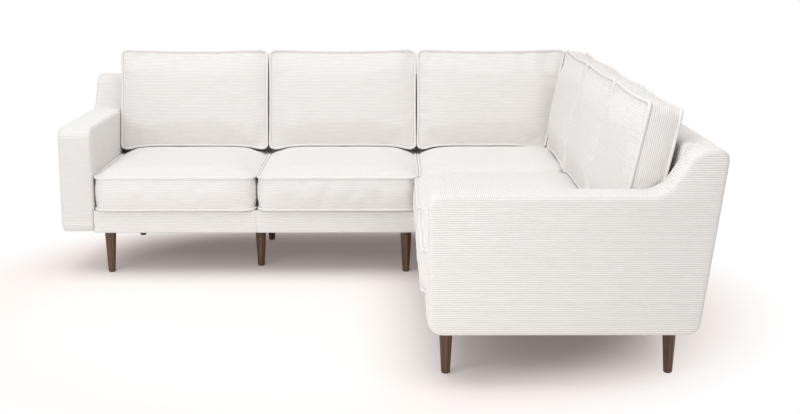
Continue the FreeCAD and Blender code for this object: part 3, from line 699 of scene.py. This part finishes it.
# %% Corner backs
PAST_CORNER = 20 * MM
FINE_FROM = 120 * MM  # before the corner, where the columns get close enough for the arc
FINE_COLUMN = 6 * MM
WIDE_UP_TO = 60 * MM
corner_columns = steps(SECTION_SEAM, arm_high.y - WIDE_UP_TO, BACK_COLUMN)
corner_columns += steps(arm_high.y - FINE_FROM, arm_high.y + PAST_CORNER, FINE_COLUMN)
corner_left_back = profile_piece(
    "corner_left_back_cover_cloth",
    back_corners,
    SECTION_SEAM + GAP,
    arm_high.y + PAST_CORNER,
    corner_columns,
)
bpy.ops.object.mode_set(mode="EDIT")
bpy.ops.mesh.select_all(action="SELECT")
bpy.ops.mesh.bisect(
    plane_co=(0, 0, 0), plane_no=(1, -1, 0), use_fill=True, clear_outer=True
)
leave_edit()
for vertex in corner_left_back.data.vertices:
    centre = rear_line(vertex.co.z) - TOP_REAR_ROUND
    across, out = vertex.co.x - centre, vertex.co.y - centre
    if across > 0 and out > 0:
        angle = math.pi / 2 - math.pi / 4 * min(1, across / out)
        vertex.co.x = centre + out * math.cos(angle)
        vertex.co.y = centre + out * math.sin(angle)
bpy.ops.object.shade_smooth_by_angle(angle=SMOOTH_BELOW)
corner_right_back = mirrored(corner_left_back, "corner_right_back_cover_cloth")

# %% [markdown]
# The fixed covers are complete now, so their ribs are raised, and each takes the place of the
# plain cover in the frame.

# %% The fixed covers' ribs
fixed_covers = [left_arm, right_arm, left_rail, right_rail, left_back, right_back]
fixed_covers += [corner_left_back, corner_right_back]
for piece in fixed_covers:
    raise_wales(piece)
    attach(piece, "frame")
    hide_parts(piece.name.replace("_cloth", ""))
print("fixed covers", len(fixed_covers))

# %% [markdown]
# ## Cushions
# Each cushion is two panels and a boxing strip, sewn together with piping and filled with foam
# and fibre. It starts as a grid that is extruded upwards into a closed block, with its seams
# marked and creased. While it is still a unit block its cloth map is easy to write: every cell is
# two ribs high. Then its vertices are moved to the cushion's form.

# %% Cushion block
CELL = 2 * WALE
PANEL_STEP = 1000 * WALE  # keeps the panels apart on the cloth map
LONG_CELL = 24 * MM
ON_EDGE = 1e-4  # of a unit block


def soft_block(name, width, height, thickness):
    """Closed unit block of quads with seams round its upper and lower faces."""
    across = round(width / LONG_CELL)
    up = round(height / CELL)
    deep = round(thickness / CELL)
    deselect()
    bpy.ops.mesh.primitive_grid_add(x_subdivisions=across, y_subdivisions=up, size=1)
    piece = bpy.context.object
    piece.name = piece.data.name = name
    bpy.ops.object.mode_set(mode="EDIT")
    bpy.ops.mesh.select_all(action="SELECT")
    bpy.ops.transform.translate(value=(0.5, 0.5, 0))
    for layer in range(deep):
        bpy.ops.mesh.extrude_region_move(TRANSFORM_OT_translate={"value": (0, 0, 1 / deep)})
    bpy.ops.mesh.select_all(action="SELECT")
    bpy.ops.mesh.normals_make_consistent(inside=False)
    pick(piece, "EDGE", on_unit_seam)
    bpy.ops.mesh.mark_seam()
    bpy.ops.transform.edge_crease(value=1)
    leave_edit()

    def rule(face, vertex):
        x, y, z = vertex.co
        if abs(face.normal.z) > 0.7:
            panel = 1 if face.normal.z > 0 else 2
            return x * width, y * up * CELL + panel * PANEL_STEP
        along = x * width if abs(face.normal.y) > 0.7 else y * height
        return along, z * deep * CELL

    lay_cloth(piece, rule)
    return piece


def on_unit_seam(edge):
    """True on the upper and lower borders of a unit block."""
    middle = (edge.verts[0].co + edge.verts[1].co) / 2
    on_face = min(middle.z, 1 - middle.z) < ON_EDGE
    on_border = min(middle.x, 1 - middle.x, middle.y, 1 - middle.y) < ON_EDGE
    return on_face and on_border


def places_of(piece):
    flat = np.empty(len(piece.data.vertices) * 3, np.float32)
    piece.data.vertices.foreach_get("co", flat)
    return flat.reshape(-1, 3).astype(float)


def put_places(piece, places):
    piece.data.vertices.foreach_set("co", places.astype(np.float32).ravel())
    piece.data.update()


def plateau(share, power):
    """1 in the middle and 0 at both ends: the higher the power, the flatter the top."""
    return 1 - np.abs(2 * np.clip(share, 0, 1) - 1) ** power


def round_corners(a, b, half_a, half_b, low_radius, high_radius):
    """Pull the corners of a rectangle round: low_radius where b is negative."""
    radius = np.where(b < 0, low_radius, high_radius)
    over_a = np.abs(a) - (half_a - radius)
    over_b = np.abs(b) - (half_b - radius)
    corner = (over_a > 0) & (over_b > 0)
    longest = np.maximum(over_a, over_b)
    pull = np.where(corner, longest / np.maximum(np.hypot(over_a, over_b), 1e-9), 1)
    a_new = np.where(corner, np.sign(a) * (half_a - radius + over_a * pull), a)
    b_new = np.where(corner, np.sign(b) * (half_b - radius + over_b * pull), b)
    return a_new, b_new

# %% [markdown]
# A filled cover isn't a smooth dome. Its panels are a little larger than the filling, so the
# cloth swells out from each seam at once, runs nearly flat over the middle and puckers along the
# piping. Blender's cloth solver gives this: the seams are pinned, the panels are cut a little too
# large, and air pressure blows them up. How far a point may move is capped, because the foam
# inside keeps the cushion's form.

# %% Filling a cover
FRAMES = 20
PRESSURE = 4.0
SPARE_CLOTH = 0.02  # by which the panels are cut too large
MOST_SWELL = 22 * MM
LUMPS = 2.5 * MM
LUMP_WAVES = 5
LUMP_SPACING = (0.16, 0.4)


def uneven(places, seed, depth):
    """Low waves of a filling that was put in by hand, different in each cushion."""
    random = np.random.default_rng(seed)
    total = np.zeros(len(places))
    for wave in range(LUMP_WAVES):
        direction = random.normal(size=3)
        spacing = random.uniform(*LUMP_SPACING)
        direction *= 2 * math.pi / (spacing * np.linalg.norm(direction))
        total += np.sin(places @ direction + random.uniform(0, 2 * math.pi))
    return total / LUMP_WAVES * depth


def fill_cover(piece, seed, keep):
    """Swell the piece with the cloth solver. Keep puts its points back in their space."""
    start = places_of(piece)
    pinned = {v for edge in piece.data.edges if edge.use_seam for v in edge.vertices}
    normals = np.empty(len(start) * 3, np.float32)
    piece.data.vertices.foreach_get("normal", normals)
    free = np.array([0.0 if i in pinned else 1.0 for i in range(len(start))])
    filling = uneven(start, seed, LUMPS) * free
    start = keep(start + normals.reshape(-1, 3) * filling[:, None])
    put_places(piece, start)
    seams = piece.vertex_groups.new(name="seams")
    seams.add(list(pinned), 1.0, "REPLACE")
    take(piece)
    bpy.ops.object.modifier_add(type="CLOTH")
    cloth = piece.modifiers[-1]
    cloth.settings.quality = 4
    cloth.settings.mass = 0.4
    cloth.settings.tension_stiffness = 15
    cloth.settings.compression_stiffness = 8
    cloth.settings.shear_stiffness = 5
    cloth.settings.bending_stiffness = 1.0
    cloth.settings.use_pressure = True
    cloth.settings.uniform_pressure_force = PRESSURE
    cloth.settings.shrink_min = -SPARE_CLOTH
    cloth.settings.vertex_group_mass = "seams"
    cloth.settings.effector_weights.gravity = 0
    cloth.point_cache.frame_start = 1
    cloth.point_cache.frame_end = FRAMES
    for frame_number in range(1, FRAMES + 1):
        bpy.context.scene.frame_set(frame_number)
    bpy.ops.object.modifier_apply(modifier=cloth.name)
    bpy.context.scene.frame_set(1)
    swell = places_of(piece) - start
    length = np.linalg.norm(swell, axis=1)
    swell *= np.minimum(1, MOST_SWELL / np.maximum(length, 1e-9))[:, None]
    put_places(piece, keep(start + swell))
    piece.vertex_groups.clear()
    print(piece.name, "swelled by", round(float(length.max()) * 1000, 1), "mm at most")

# %% [markdown]
# The piping is a cord in a strip of the same cloth, cut on the bias and caught in the seam. Its
# line is copied from the marked seams, turned into a curve and given a round section.

# %% Piping
PIPING_RADIUS = 5.5 * MM
PIPING_PROUD = 3 * MM
PIPING_SIDES = 8
PIPING_STEP = 6 * MM  # from ring to ring, along the cord
PIPING_BIAS = 0.7
RIBS_ROUND = 4


def add_piping(piece, name):
    """Cord in its own bias-cut cover, along the seams of a cushion before its ribs are cut."""
    normals = np.empty(len(piece.data.vertices) * 3, np.float32)
    piece.data.vertices.foreach_get("normal", normals)
    on_seam = sorted({v for edge in piece.data.edges if edge.use_seam for v in edge.vertices})
    outward = normals.reshape(-1, 3)[on_seam]
    pick(piece, "EDGE", lambda e: e.seam)
    bpy.ops.mesh.duplicate()
    bpy.ops.mesh.separate(type="SELECTED")
    leave_edit()
    line = [o for o in bpy.context.selected_objects if o != piece][0]
    take(line)
    line.name = name
    line.data.uv_layers.remove(line.data.uv_layers["cloth"])
    put_places(line, places_of(line) + outward * PIPING_PROUD)
    bpy.ops.object.convert(target="CURVE")
    curve = line.data
    for spline in curve.splines:
        spline.type = "NURBS"
        spline.order_u = 3
        spline.use_cyclic_u = True
    curve.resolution_u = 2
    curve.bevel_depth = PIPING_RADIUS
    curve.bevel_resolution = 2
    bpy.ops.object.convert(target="MESH")
    line.data.name = name
    wrap_piping(line)
    take(line)
    bpy.ops.object.shade_smooth()
    return line


def wrap_piping(line):
    """Cloth map of a cord: ribs on the bias, four of them round its girth."""
    sides = PIPING_SIDES
    rings = len(line.data.vertices) // sides

    def rule(face, vertex):
        ring, side = divmod(vertex.index, sides)
        face_rings = [i // sides for i in face.vertices]
        face_sides = [i % sides for i in face.vertices]
        if side == 0 and max(face_sides) == sides - 1:
            side = sides
        if ring == min(face_rings) and max(face_rings) - ring > 1:
            ring += rings
        along = ring * PIPING_STEP
        return along, along * PIPING_BIAS + side / sides * RIBS_ROUND * WALE

    lay_cloth(line, rule, piping_cloth)

# %% [markdown]
# A filled cover is still coarse. One subdivision smooths it, the cells that show are cut into
# the rows of their ribs, and the ribs are raised, lower than on the fixed covers, because a
# stretched panel pulls its pile flat. The hidden panel of a cushion stays plain.

# %% Finishing a cushion
CUSHION_WALE_DEPTH = 0.35 * MM


def smooth_once(piece):
    take(piece)
    bpy.ops.object.modifier_add(type="SUBSURF")
    smoothing = piece.modifiers[-1]
    smoothing.levels = smoothing.render_levels = 1
    smoothing.uv_smooth = "NONE"
    bpy.ops.object.modifier_apply(modifier=smoothing.name)


def cut_wales(piece, panel):
    """Cut each cell of one panel into the rows of a rib: 0 is the boxing, 1 the upper panel."""
    take(piece)
    bpy.ops.object.mode_set(mode="EDIT")
    cloth = bmesh.from_edit_mesh(piece.data).loops.layers.uv["cloth"]

    def crosses(edge):
        for loop in edge.link_loops:
            here, there = loop[cloth].uv, loop.link_loop_next[cloth].uv
            across, along = abs(here.y - there.y), abs(here.x - there.x)
            if int((here.y + there.y) / 2 // PANEL_STEP) == panel and across > along:
                return True
        return False

    pick(piece, "EDGE", crosses)
    bpy.ops.mesh.subdivide(number_cuts=ROWS - 1)
    leave_edit()


def finish_cushion(piece):
    smooth_once(piece)
    cut_wales(piece, 0)
    cut_wales(piece, 1)
    raise_wales(piece, CUSHION_WALE_DEPTH)
    take(piece)
    bpy.ops.object.shade_smooth_by_angle(angle=math.radians(60))


def swap_sides(piece):
    """The right wing's piece in place of the left wing's."""
    copy = mirrored(piece, side_name(piece.name).split(".")[0])
    bpy.data.objects.remove(piece)
    return copy


def dress_cushion(piece, body, nodes, right_side):
    """Ribs, piping and everything the frame needs to know about one cushion."""
    piping = add_piping(piece, piece.name.replace("_cloth", "_piping"))
    finish_cushion(piece)
    if right_side:
        piece, piping = swap_sides(piece), swap_sides(piping)
    for part in (piece, piping):
        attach(part, body)
    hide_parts(*nodes)
    print(piece.name, len(piece.data.polygons), "faces")

# %% [markdown]
# ## Seats
# A seat cushion is a block of foam in a cover that is boxed on all sides. Its front stands over
# the rail and swells, its two front corners are round, and its top is crowned: high and nearly
# flat in the middle, falling to the piping. The corner seat is held on all four sides, so it
# neither overhangs nor swells forward.

# %% Seat form
SEAM_INSET = 7.7 * MM
SKIN = 1.3 * MM
MODELLED = 0.85  # of a crown, and the filling gives the rest
CROWN_POWER = 6
SIDE_BELLY = 4 * MM
SEAT_OVERHANG = 21 * MM
FRONT_BULGE = 10 * MM
FRONT_CORNER = 46 * MM
REAR_CORNER = 18 * MM
PLUMP = 44 * MM
SAG_BELOW = 3 * MM


def seat_crown(x, y, span):
    """Height of a seat's top over its seam. Span is (x0, x1, y0, y1)."""
    x0, x1, y0, y1 = span
    across = plateau((x - x0) / (x1 - x0), CROWN_POWER)
    return PLUMP * across * plateau((y - y0) / (y1 - y0), CROWN_POWER)


def seat_places(shares, span, overhang):
    """Move the shares of a unit block to a seat cushion's form."""
    x0, x1, y0, y1 = span
    X, Y, Z = shares.T
    half_x, half_y = (x1 - x0) / 2 - SEAM_INSET, (y1 - y0) / 2 - SEAM_INSET
    a, b = (2 * X - 1) * half_x, (2 * Y - 1) * half_y
    front_radius = FRONT_CORNER if overhang else REAR_CORNER
    a, b = round_corners(a, b, half_x, half_y, front_radius, REAR_CORNER)
    x, y = (x0 + x1) / 2 + a, (y0 + y1) / 2 + b
    low, high = BASE_TOP + GAP + SEAM_INSET, SEAT_EDGE - SEAM_INSET
    z = low + Z * (high - low)
    z += np.where(Z > 0.999, MODELLED * seat_crown(x, y, span), 0)
    z -= np.where(Z < 0.001, SAG_BELOW * plateau(X, 8) * plateau(Y, 8), 0)
    belly = 4 * Z * (1 - Z)
    y -= FRONT_BULGE * belly * plateau(X, 4) * (Y < 0.001) * overhang
    x += SIDE_BELLY * belly * plateau(Y, 6) * (np.isclose(X, 1) * 1.0 - np.isclose(X, 0))
    return np.column_stack((x, y, z))


def seat_space(span, overhang):
    """A function that keeps a seat's points inside the space that its filling has."""
    x0, x1, y0, y1 = span

    def keep(places):
        x, y, z = places.T
        x = np.clip(x, x0 + SKIN, x1 - SKIN)
        y = np.clip(y, y0 + SKIN - FRONT_BULGE * overhang, y1 - SKIN)
        roof = SEAT_EDGE + seat_crown(x, y, span)
        z = np.clip(z, BASE_TOP + GAP + SKIN, roof)
        return np.column_stack((x, y, z))

    return keep


wing_spans = {
    "end": (ARM_INNER + GAP, SEAT_SEAM - GAP, FRONT - SEAT_OVERHANG, SEAT_REAR),
    "inner": (SEAT_SEAM + GAP, SECTION_SEAM - GAP, FRONT - SEAT_OVERHANG, SEAT_REAR),
}
corner_span = (SECTION_SEAM + GAP, SEAT_REAR, SECTION_SEAM + GAP, SEAT_REAR)


def make_seat(name, span, overhang, seed):
    x0, x1, y0, y1 = span
    piece = soft_block(name, x1 - x0, y1 - y0, SEAT_EDGE - BASE_TOP)
    put_places(piece, seat_places(places_of(piece), span, overhang))
    fill_cover(piece, seed, seat_space(span, overhang))
    return piece

# %% [markdown]
# The wings' seats are made one by one and not copied, because no two cushions are filled alike:
# each has a seed of its own.

# %% Seats
seed = 11
for side in ("left", "right"):
    for place, span in wing_spans.items():
        seed += 1
        piece = make_seat(f"left_{place}_seat_cover_cloth", span, 1, seed)
        body = f"{side}_{place}_seat"
        dress_cushion(piece, body, [body + "_cover", body + "_core"], side == "right")
CORNER_SEED = 21
piece = make_seat("corner_seat_cover_cloth", corner_span, 0, CORNER_SEED)
dress_cushion(piece, "corner_seat", ["corner_seat_cover", "corner_seat_core"], False)

# %% [markdown]
# ## Back cushions
# The back cushions lean on the back and stand on the seats. Their upper corners stand up like
# ears, their sides pull in between the corners, and the foot lifts over the crown of the seat.
# The two in the corner are cut on the diagonal where they meet.

# %% Back cushion form
SIDE_BOW = 2.5 * MM
SIDE_SWELL = 5 * MM
TOP_DIP = 10 * MM
TOP_CORNER = 28 * MM
FOOT_CORNER = 20 * MM
FRONT_CROWN = 33 * MM
REAR_CROWN = 19 * MM
FOOT_LIFT = 3 * MM
LEAST_FOOT = 20 * MM
SWELL_POWER = 3.5


def lean(x, up, depth):
    """Place of a point that is up a leaning cushion and depth behind its front."""
    y = FRONT + SEAT_DEPTH + depth * math.cos(LEAN) + up * math.sin(LEAN)
    z = SEAT_EDGE - depth * math.sin(LEAN) + up * math.cos(LEAN)
    return np.column_stack((x, y, z))


def upright(places):
    """The same, turned back: x, up and depth of a place."""
    x, y, z = places.T
    y, z = y - FRONT - SEAT_DEPTH, z - SEAT_EDGE
    up = y * math.sin(LEAN) + z * math.cos(LEAN)
    return x, up, y * math.cos(LEAN) - z * math.sin(LEAN)


def back_places(shares, span, mitred):
    """Move the shares of a unit block to a back cushion's form."""
    x0, x1 = span[0], (SEAT_REAR if mitred else span[1])
    X, Y, Z = shares.T
    depth = SEAM_INSET + (1 - Z) * (CUSHION_THICKNESS - 2 * SEAM_INSET)
    half_x, half_h = (x1 - x0) / 2 - SEAM_INSET, CUSHION_HEIGHT / 2 - SEAM_INSET
    a, b = (2 * X - 1) * half_x, (2 * Y - 1) * half_h
    a, b = round_corners(a, b, half_x, half_h, FOOT_CORNER, TOP_CORNER)
    free_side = 1 - mitred * (X > 0.5)
    a -= (2 * X - 1) * SIDE_BOW * 4 * Y * (1 - Y) * free_side
    on_side = np.isclose(X, 1) * 1.0 - np.isclose(X, 0)
    a += on_side * SIDE_SWELL * 4 * Z * (1 - Z) * plateau(Y, 6) * free_side
    up = CUSHION_HEIGHT / 2 + b - TOP_DIP * 4 * X * (1 - X) * Y**2
    x = (x0 + x1) / 2 + a
    ground = lean(x, up, depth)
    crown = seat_crown(np.clip(x, span[0], span[1]), ground[:, 1], span)
    foot = np.maximum(crown, LEAST_FOOT) + FOOT_LIFT
    foot_up = (foot + depth * math.sin(LEAN)) / math.cos(LEAN)
    up = up + foot_up * (1 - np.clip(up / CUSHION_HEIGHT, 0, 1)) ** 3
    swell = plateau(X, SWELL_POWER) * plateau(Y, SWELL_POWER)
    depth -= np.where(Z > 0.999, MODELLED * FRONT_CROWN * swell, 0)
    depth += np.where(Z < 0.001, MODELLED * REAR_CROWN * swell, 0)
    places = lean(x, up, depth)
    if mitred:
        share = (x - x0) / (x1 - x0)
        places[:, 0] = x0 + share * (places[:, 1] - x0 - SEAM_INSET)
    return places


def back_space(span, mitred):
    """A function that keeps a back cushion's points inside its own space."""

    def keep(places):
        x, up, depth = upright(places)
        across = (x - span[0]) / (span[1] - span[0])
        swell = plateau(across, SWELL_POWER) * plateau(up / CUSHION_HEIGHT, SWELL_POWER)
        depth = np.clip(depth, -FRONT_CROWN * swell, CUSHION_THICKNESS + REAR_CROWN * swell)
        up = np.minimum(up, CUSHION_HEIGHT)
        places = lean(x, up, depth)
        floor_z = SEAT_EDGE + seat_crown(x, places[:, 1], span) + 2 * SKIN
        far = places[:, 1] - SKIN - GAP if mitred else span[1] - SKIN
        places[:, 0] = np.clip(places[:, 0], span[0] + SKIN, far)
        places[:, 2] = np.maximum(places[:, 2], floor_z)
        return places

    return keep


def make_back(name, span, mitred, seed):
    piece = soft_block(name, span[1] - span[0], CUSHION_HEIGHT, CUSHION_THICKNESS)
    put_places(piece, back_places(places_of(piece), span, mitred))
    fill_cover(piece, seed, back_space(span, mitred))
    return piece

# %% [markdown]
# Each side has three back cushions, from its arm to the corner, again each with its own seed.

# %% Back cushions
seed = 31
for side in ("left", "right"):
    for place, span in wing_spans.items():
        seed += 1
        piece = make_back(f"left_{place}_back_cushion_cloth", span, 0, seed)
        body = f"{side}_{place}_back"
        dress_cushion(piece, body, [body + "_cushion"], side == "right")
    seed += 1
    piece = make_back("corner_left_back_cushion_cloth", corner_span, 1, seed)
    dress_cushion(piece, f"corner_{side}_back", [f"corner_{side}_back_cushion"], side == "right")

# %% [markdown]
# ## Cloth that hardly shows
# Under the seats a black non-woven cloth is stretched over the springs, and another, thinner one
# closes the base from below. The cloth is made of fine melted fibres, pressed together in small
# dots, so it is dull and faintly speckled.

# %% Non-woven cloth
BOND_DOT = 2.22 * MM
FIBRE_CLOUD = 3.85 * MM
non_woven, tree, shader = new_material("black_spunbond_polypropylene")
place = add_node(tree, "ShaderNodeTexCoord")
dots = add_node(
    tree, "ShaderNodeTexVoronoi", {"Vector": place.outputs["Object"], "Scale": 1 / BOND_DOT}
)
fibres = add_node(
    tree,
    "ShaderNodeTexNoise",
    {"Vector": place.outputs["Object"], "Scale": 1 / FIBRE_CLOUD, "Detail": 4.0},
)
spots = add_node(
    tree,
    "ShaderNodeMath",
    {0: dots.outputs["Distance"], 1: fibres.outputs["Fac"]},
    operation="MULTIPLY",
)
tone = add_node(
    tree,
    "ShaderNodeMix",
    {0: spots.outputs[0], 6: linear("#1E1E20"), 7: linear("#3B3B3E")},
    data_type="RGBA",
)
dents = add_node(tree, "ShaderNodeBump", {"Height": spots.outputs[0], "Distance": 0.3 * MM})
tree.links.new(tone.outputs[2], shader.inputs["Base Color"])
tree.links.new(dents.outputs[0], shader.inputs["Normal"])
shader.inputs["Roughness"].default_value = 0.8
print("bonding dots", BOND_DOT / MM, "mm apart")

# %% [markdown]
# Both cloths are stapled to the rails under tension, so each is a flat sheet that hangs a little
# between its edges. A cloth simulation would give the same few millimetres, so the sag is written
# as a height. A grid is moved to it and given the cloth's thickness.

# %% Stretched sheets
SHEET_CELL = 60 * MM
SHEET_THICKNESS = 0.6 * MM
SHEET_BELOW = 0.4 * MM
DECK_SAG = 0.5 * MM
DUST_SAG = 3 * MM


def stretched_sheet(node, sag):
    """A stapled sheet in the box of its CAD node, hanging by the sag in its middle."""
    low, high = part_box(node)
    size = high - low
    deselect()
    bpy.ops.mesh.primitive_grid_add(
        x_subdivisions=max(2, round(size.x / SHEET_CELL)),
        y_subdivisions=max(2, round(size.y / SHEET_CELL)),
        size=1,
        location=(low + high) / 2,
    )
    piece = bpy.context.object
    piece.name = piece.data.name = node + "_sheet"
    piece.scale = (size.x, size.y, 1)
    bpy.ops.object.transform_apply(location=True, rotation=True, scale=True)
    places = places_of(piece)
    x, y = (places[:, 0] - low.x) / size.x, (places[:, 1] - low.y) / size.y
    places[:, 2] = high.z - SHEET_BELOW - sag * plateau(x, 4) * plateau(y, 4)
    put_places(piece, places)
    bpy.ops.object.modifier_add(type="SOLIDIFY")
    piece.modifiers[-1].thickness = SHEET_THICKNESS
    bpy.ops.object.modifier_apply(modifier=piece.modifiers[-1].name)
    piece.data.materials.append(non_woven)
    bpy.ops.object.shade_smooth_by_angle(angle=math.radians(40))
    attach(piece, "frame")
    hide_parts(node)
    print(piece.name, round(size.x, 3), "by", round(size.y, 3), "m")


for part in ("left", "right", "corner"):
    stretched_sheet(part + "_deck_cloth", DECK_SAG)
    stretched_sheet(part + "_dust_cover", DUST_SAG)

# %% [markdown]
# ## Wood, steel and plastic
# The construction keeps its CAD shapes, and only its surfaces are finished here. The legs are
# turned from walnut and oiled, so their grain runs up the leg and has a low, even gloss. The
# frame is planed pine: pale, dry and plainly banded along each board. Both are one recipe, with
# bands for the figure and a fine noise for the pores, each drawn out along the grain.

# %% Wood
ALONG_GRAIN = 0.06  # of a pattern's scale across the grain
BAND_TURN = 2 * math.pi / 10  # a wave node's diagonal bands lie this far apart at scale 1
PORE_DEPTH = 0.15 * MM
X_AXIS, Z_AXIS = 0, 2


def wood(name, early, late, along, band, streak, roughness):
    """Bands of the figure and pores of a width, drawn out along one direction."""
    material, tree, shader = new_material(name)
    place = add_node(tree, "ShaderNodeTexCoord")
    scale = [1.0, 1.0, 1.0]
    scale[along] = ALONG_GRAIN
    drawn = add_node(tree, "ShaderNodeMapping", {"Vector": place.outputs["Object"], "Scale": scale})
    rings = add_node(
        tree,
        "ShaderNodeTexWave",
        {"Vector": drawn.outputs[0], "Scale": BAND_TURN / band, "Distortion": 5.0, "Detail": 2.0},
        wave_type="BANDS",
        bands_direction="DIAGONAL",
    )
    pores = add_node(
        tree, "ShaderNodeTexNoise", {"Vector": drawn.outputs[0], "Scale": 1 / streak, "Detail": 5.0}
    )
    share = add_node(
        tree, "ShaderNodeMath", {0: rings.outputs["Fac"], 1: 0.5, 2: 0.1}, operation="MULTIPLY_ADD"
    )
    share = add_node(
        tree,
        "ShaderNodeMath",
        {0: pores.outputs["Fac"], 1: 0.45, 2: share.outputs[0]},
        operation="MULTIPLY_ADD",
    )
    colour = add_node(
        tree,
        "ShaderNodeMix",
        {0: share.outputs[0], 6: linear(early), 7: linear(late)},
        data_type="RGBA",
    )
    grain = add_node(
        tree, "ShaderNodeBump", {"Height": pores.outputs["Fac"], "Distance": PORE_DEPTH}
    )
    tree.links.new(colour.outputs[2], shader.inputs["Base Color"])
    tree.links.new(grain.outputs[0], shader.inputs["Normal"])
    shader.inputs["Roughness"].default_value = roughness
    return material


oiled_walnut = wood(
    "oiled_walnut", "#765439", "#40281A", Z_AXIS, band=15.08 * MM, streak=1.2 * MM, roughness=0.42
)
planed_pine = wood(
    "planed_pine", "#E2C79C", "#C79F6B", X_AXIS, band=18.85 * MM, streak=1.5 * MM, roughness=0.6
)
print("woods", oiled_walnut.name, planed_pine.name)

# %% [markdown]
# Springs are tempered wire, dark from the oil it was quenched in, and the fixings are steel with
# a thin coat of zinc, whose crystals break its shine into patches. The glides are moulded nylon
# with a spark-eroded texture, and the back's webbing is rubber thread woven with polypropylene,
# which shows as close, rounded ribs.

# %% Metal
def metal(name, dark, light, roughness, mottle):
    """A metal with patches of a size, from its crystals or its rolling."""
    material, tree, shader = new_material(name)
    place = add_node(tree, "ShaderNodeTexCoord")
    spots = add_node(
        tree,
        "ShaderNodeTexNoise",
        {"Vector": place.outputs["Object"], "Scale": 1 / mottle, "Detail": 3.0},
    )
    colour = add_node(
        tree,
        "ShaderNodeMix",
        {0: spots.outputs["Fac"], 6: linear(dark), 7: linear(light)},
        data_type="RGBA",
    )
    dull = add_node(
        tree,
        "ShaderNodeMapRange",
        {"Value": spots.outputs["Fac"], "To Min": roughness - 0.08, "To Max": roughness + 0.12},
    )
    tree.links.new(colour.outputs[2], shader.inputs["Base Color"])
    tree.links.new(dull.outputs[0], shader.inputs["Roughness"])
    shader.inputs["Metallic"].default_value = 1.0
    return material


zinc_plate = metal("zinc_plated_steel", "#A9ADB2", "#C9CCD0", 0.35, 6 * MM)
spring_wire = metal("oil_tempered_spring_wire", "#3D3E41", "#5C5D60", 0.4, 9 * MM)
print("metals", zinc_plate.name, spring_wire.name)

# %% Plastic and webbing
SPARK_PIT = 0.714 * MM
SPARK_DEPTH = 0.08 * MM
WEB_RIB = 3.927 * MM
WEB_DEPTH = 0.4 * MM

nylon, tree, shader = new_material("moulded_nylon")
place = add_node(tree, "ShaderNodeTexCoord")
sparks = add_node(
    tree,
    "ShaderNodeTexNoise",
    {"Vector": place.outputs["Object"], "Scale": 1 / SPARK_PIT, "Detail": 2.0},
)
tone = add_node(
    tree,
    "ShaderNodeMix",
    {0: sparks.outputs["Fac"], 6: linear("#242322"), 7: linear("#343231")},
    data_type="RGBA",
)
texture = add_node(
    tree, "ShaderNodeBump", {"Height": sparks.outputs["Fac"], "Distance": SPARK_DEPTH}
)
tree.links.new(tone.outputs[2], shader.inputs["Base Color"])
tree.links.new(texture.outputs[0], shader.inputs["Normal"])
shader.inputs["Roughness"].default_value = 0.5

webbing, tree, shader = new_material("woven_elastic_webbing")
place = add_node(tree, "ShaderNodeTexCoord")
ribs = add_node(
    tree,
    "ShaderNodeTexWave",
    {"Vector": place.outputs["Object"], "Scale": BAND_TURN / WEB_RIB},
    bands_direction="DIAGONAL",
)
tone = add_node(
    tree,
    "ShaderNodeMix",
    {0: ribs.outputs["Fac"], 6: linear("#4E463C"), 7: linear("#8A7D69")},
    data_type="RGBA",
)
weave = add_node(tree, "ShaderNodeBump", {"Height": ribs.outputs["Fac"], "Distance": WEB_DEPTH})
tree.links.new(tone.outputs[2], shader.inputs["Base Color"])
tree.links.new(weave.outputs[0], shader.inputs["Normal"])
shader.inputs["Roughness"].default_value = 0.9
print("webbing ribs", WEB_RIB / MM, "mm apart")

# %% [markdown]
# The construction's pieces are named for what they are, so the ending of a name says which
# finish it gets. Pieces that a cloth has replaced are hidden and are left out.

# %% Finishes of the construction
FINISHES = {
    "legs": oiled_walnut,
    "rails": planed_pine,
    "leg_blocks": planed_pine,
    "back_frame": planed_pine,
    "arm_frame": planed_pine,
    "springs": spring_wire,
    "leg_plates": zinc_plate,
    "leg_hangers": zinc_plate,
    "spring_clips": zinc_plate,
    "section_connectors": zinc_plate,
    "arm_bolts": zinc_plate,
    "leg_glides": nylon,
    "back_webbing": webbing,
}
finished = 0
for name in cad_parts:
    node = bpy.data.objects[name]
    ending = next((e for e in FINISHES if name.endswith(e)), None)
    if node.hide_render or not ending:
        continue
    for place in node.material_slots:
        place.material = FINISHES[ending]
    finished += 1
print("construction nodes finished", finished, "of", len(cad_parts))
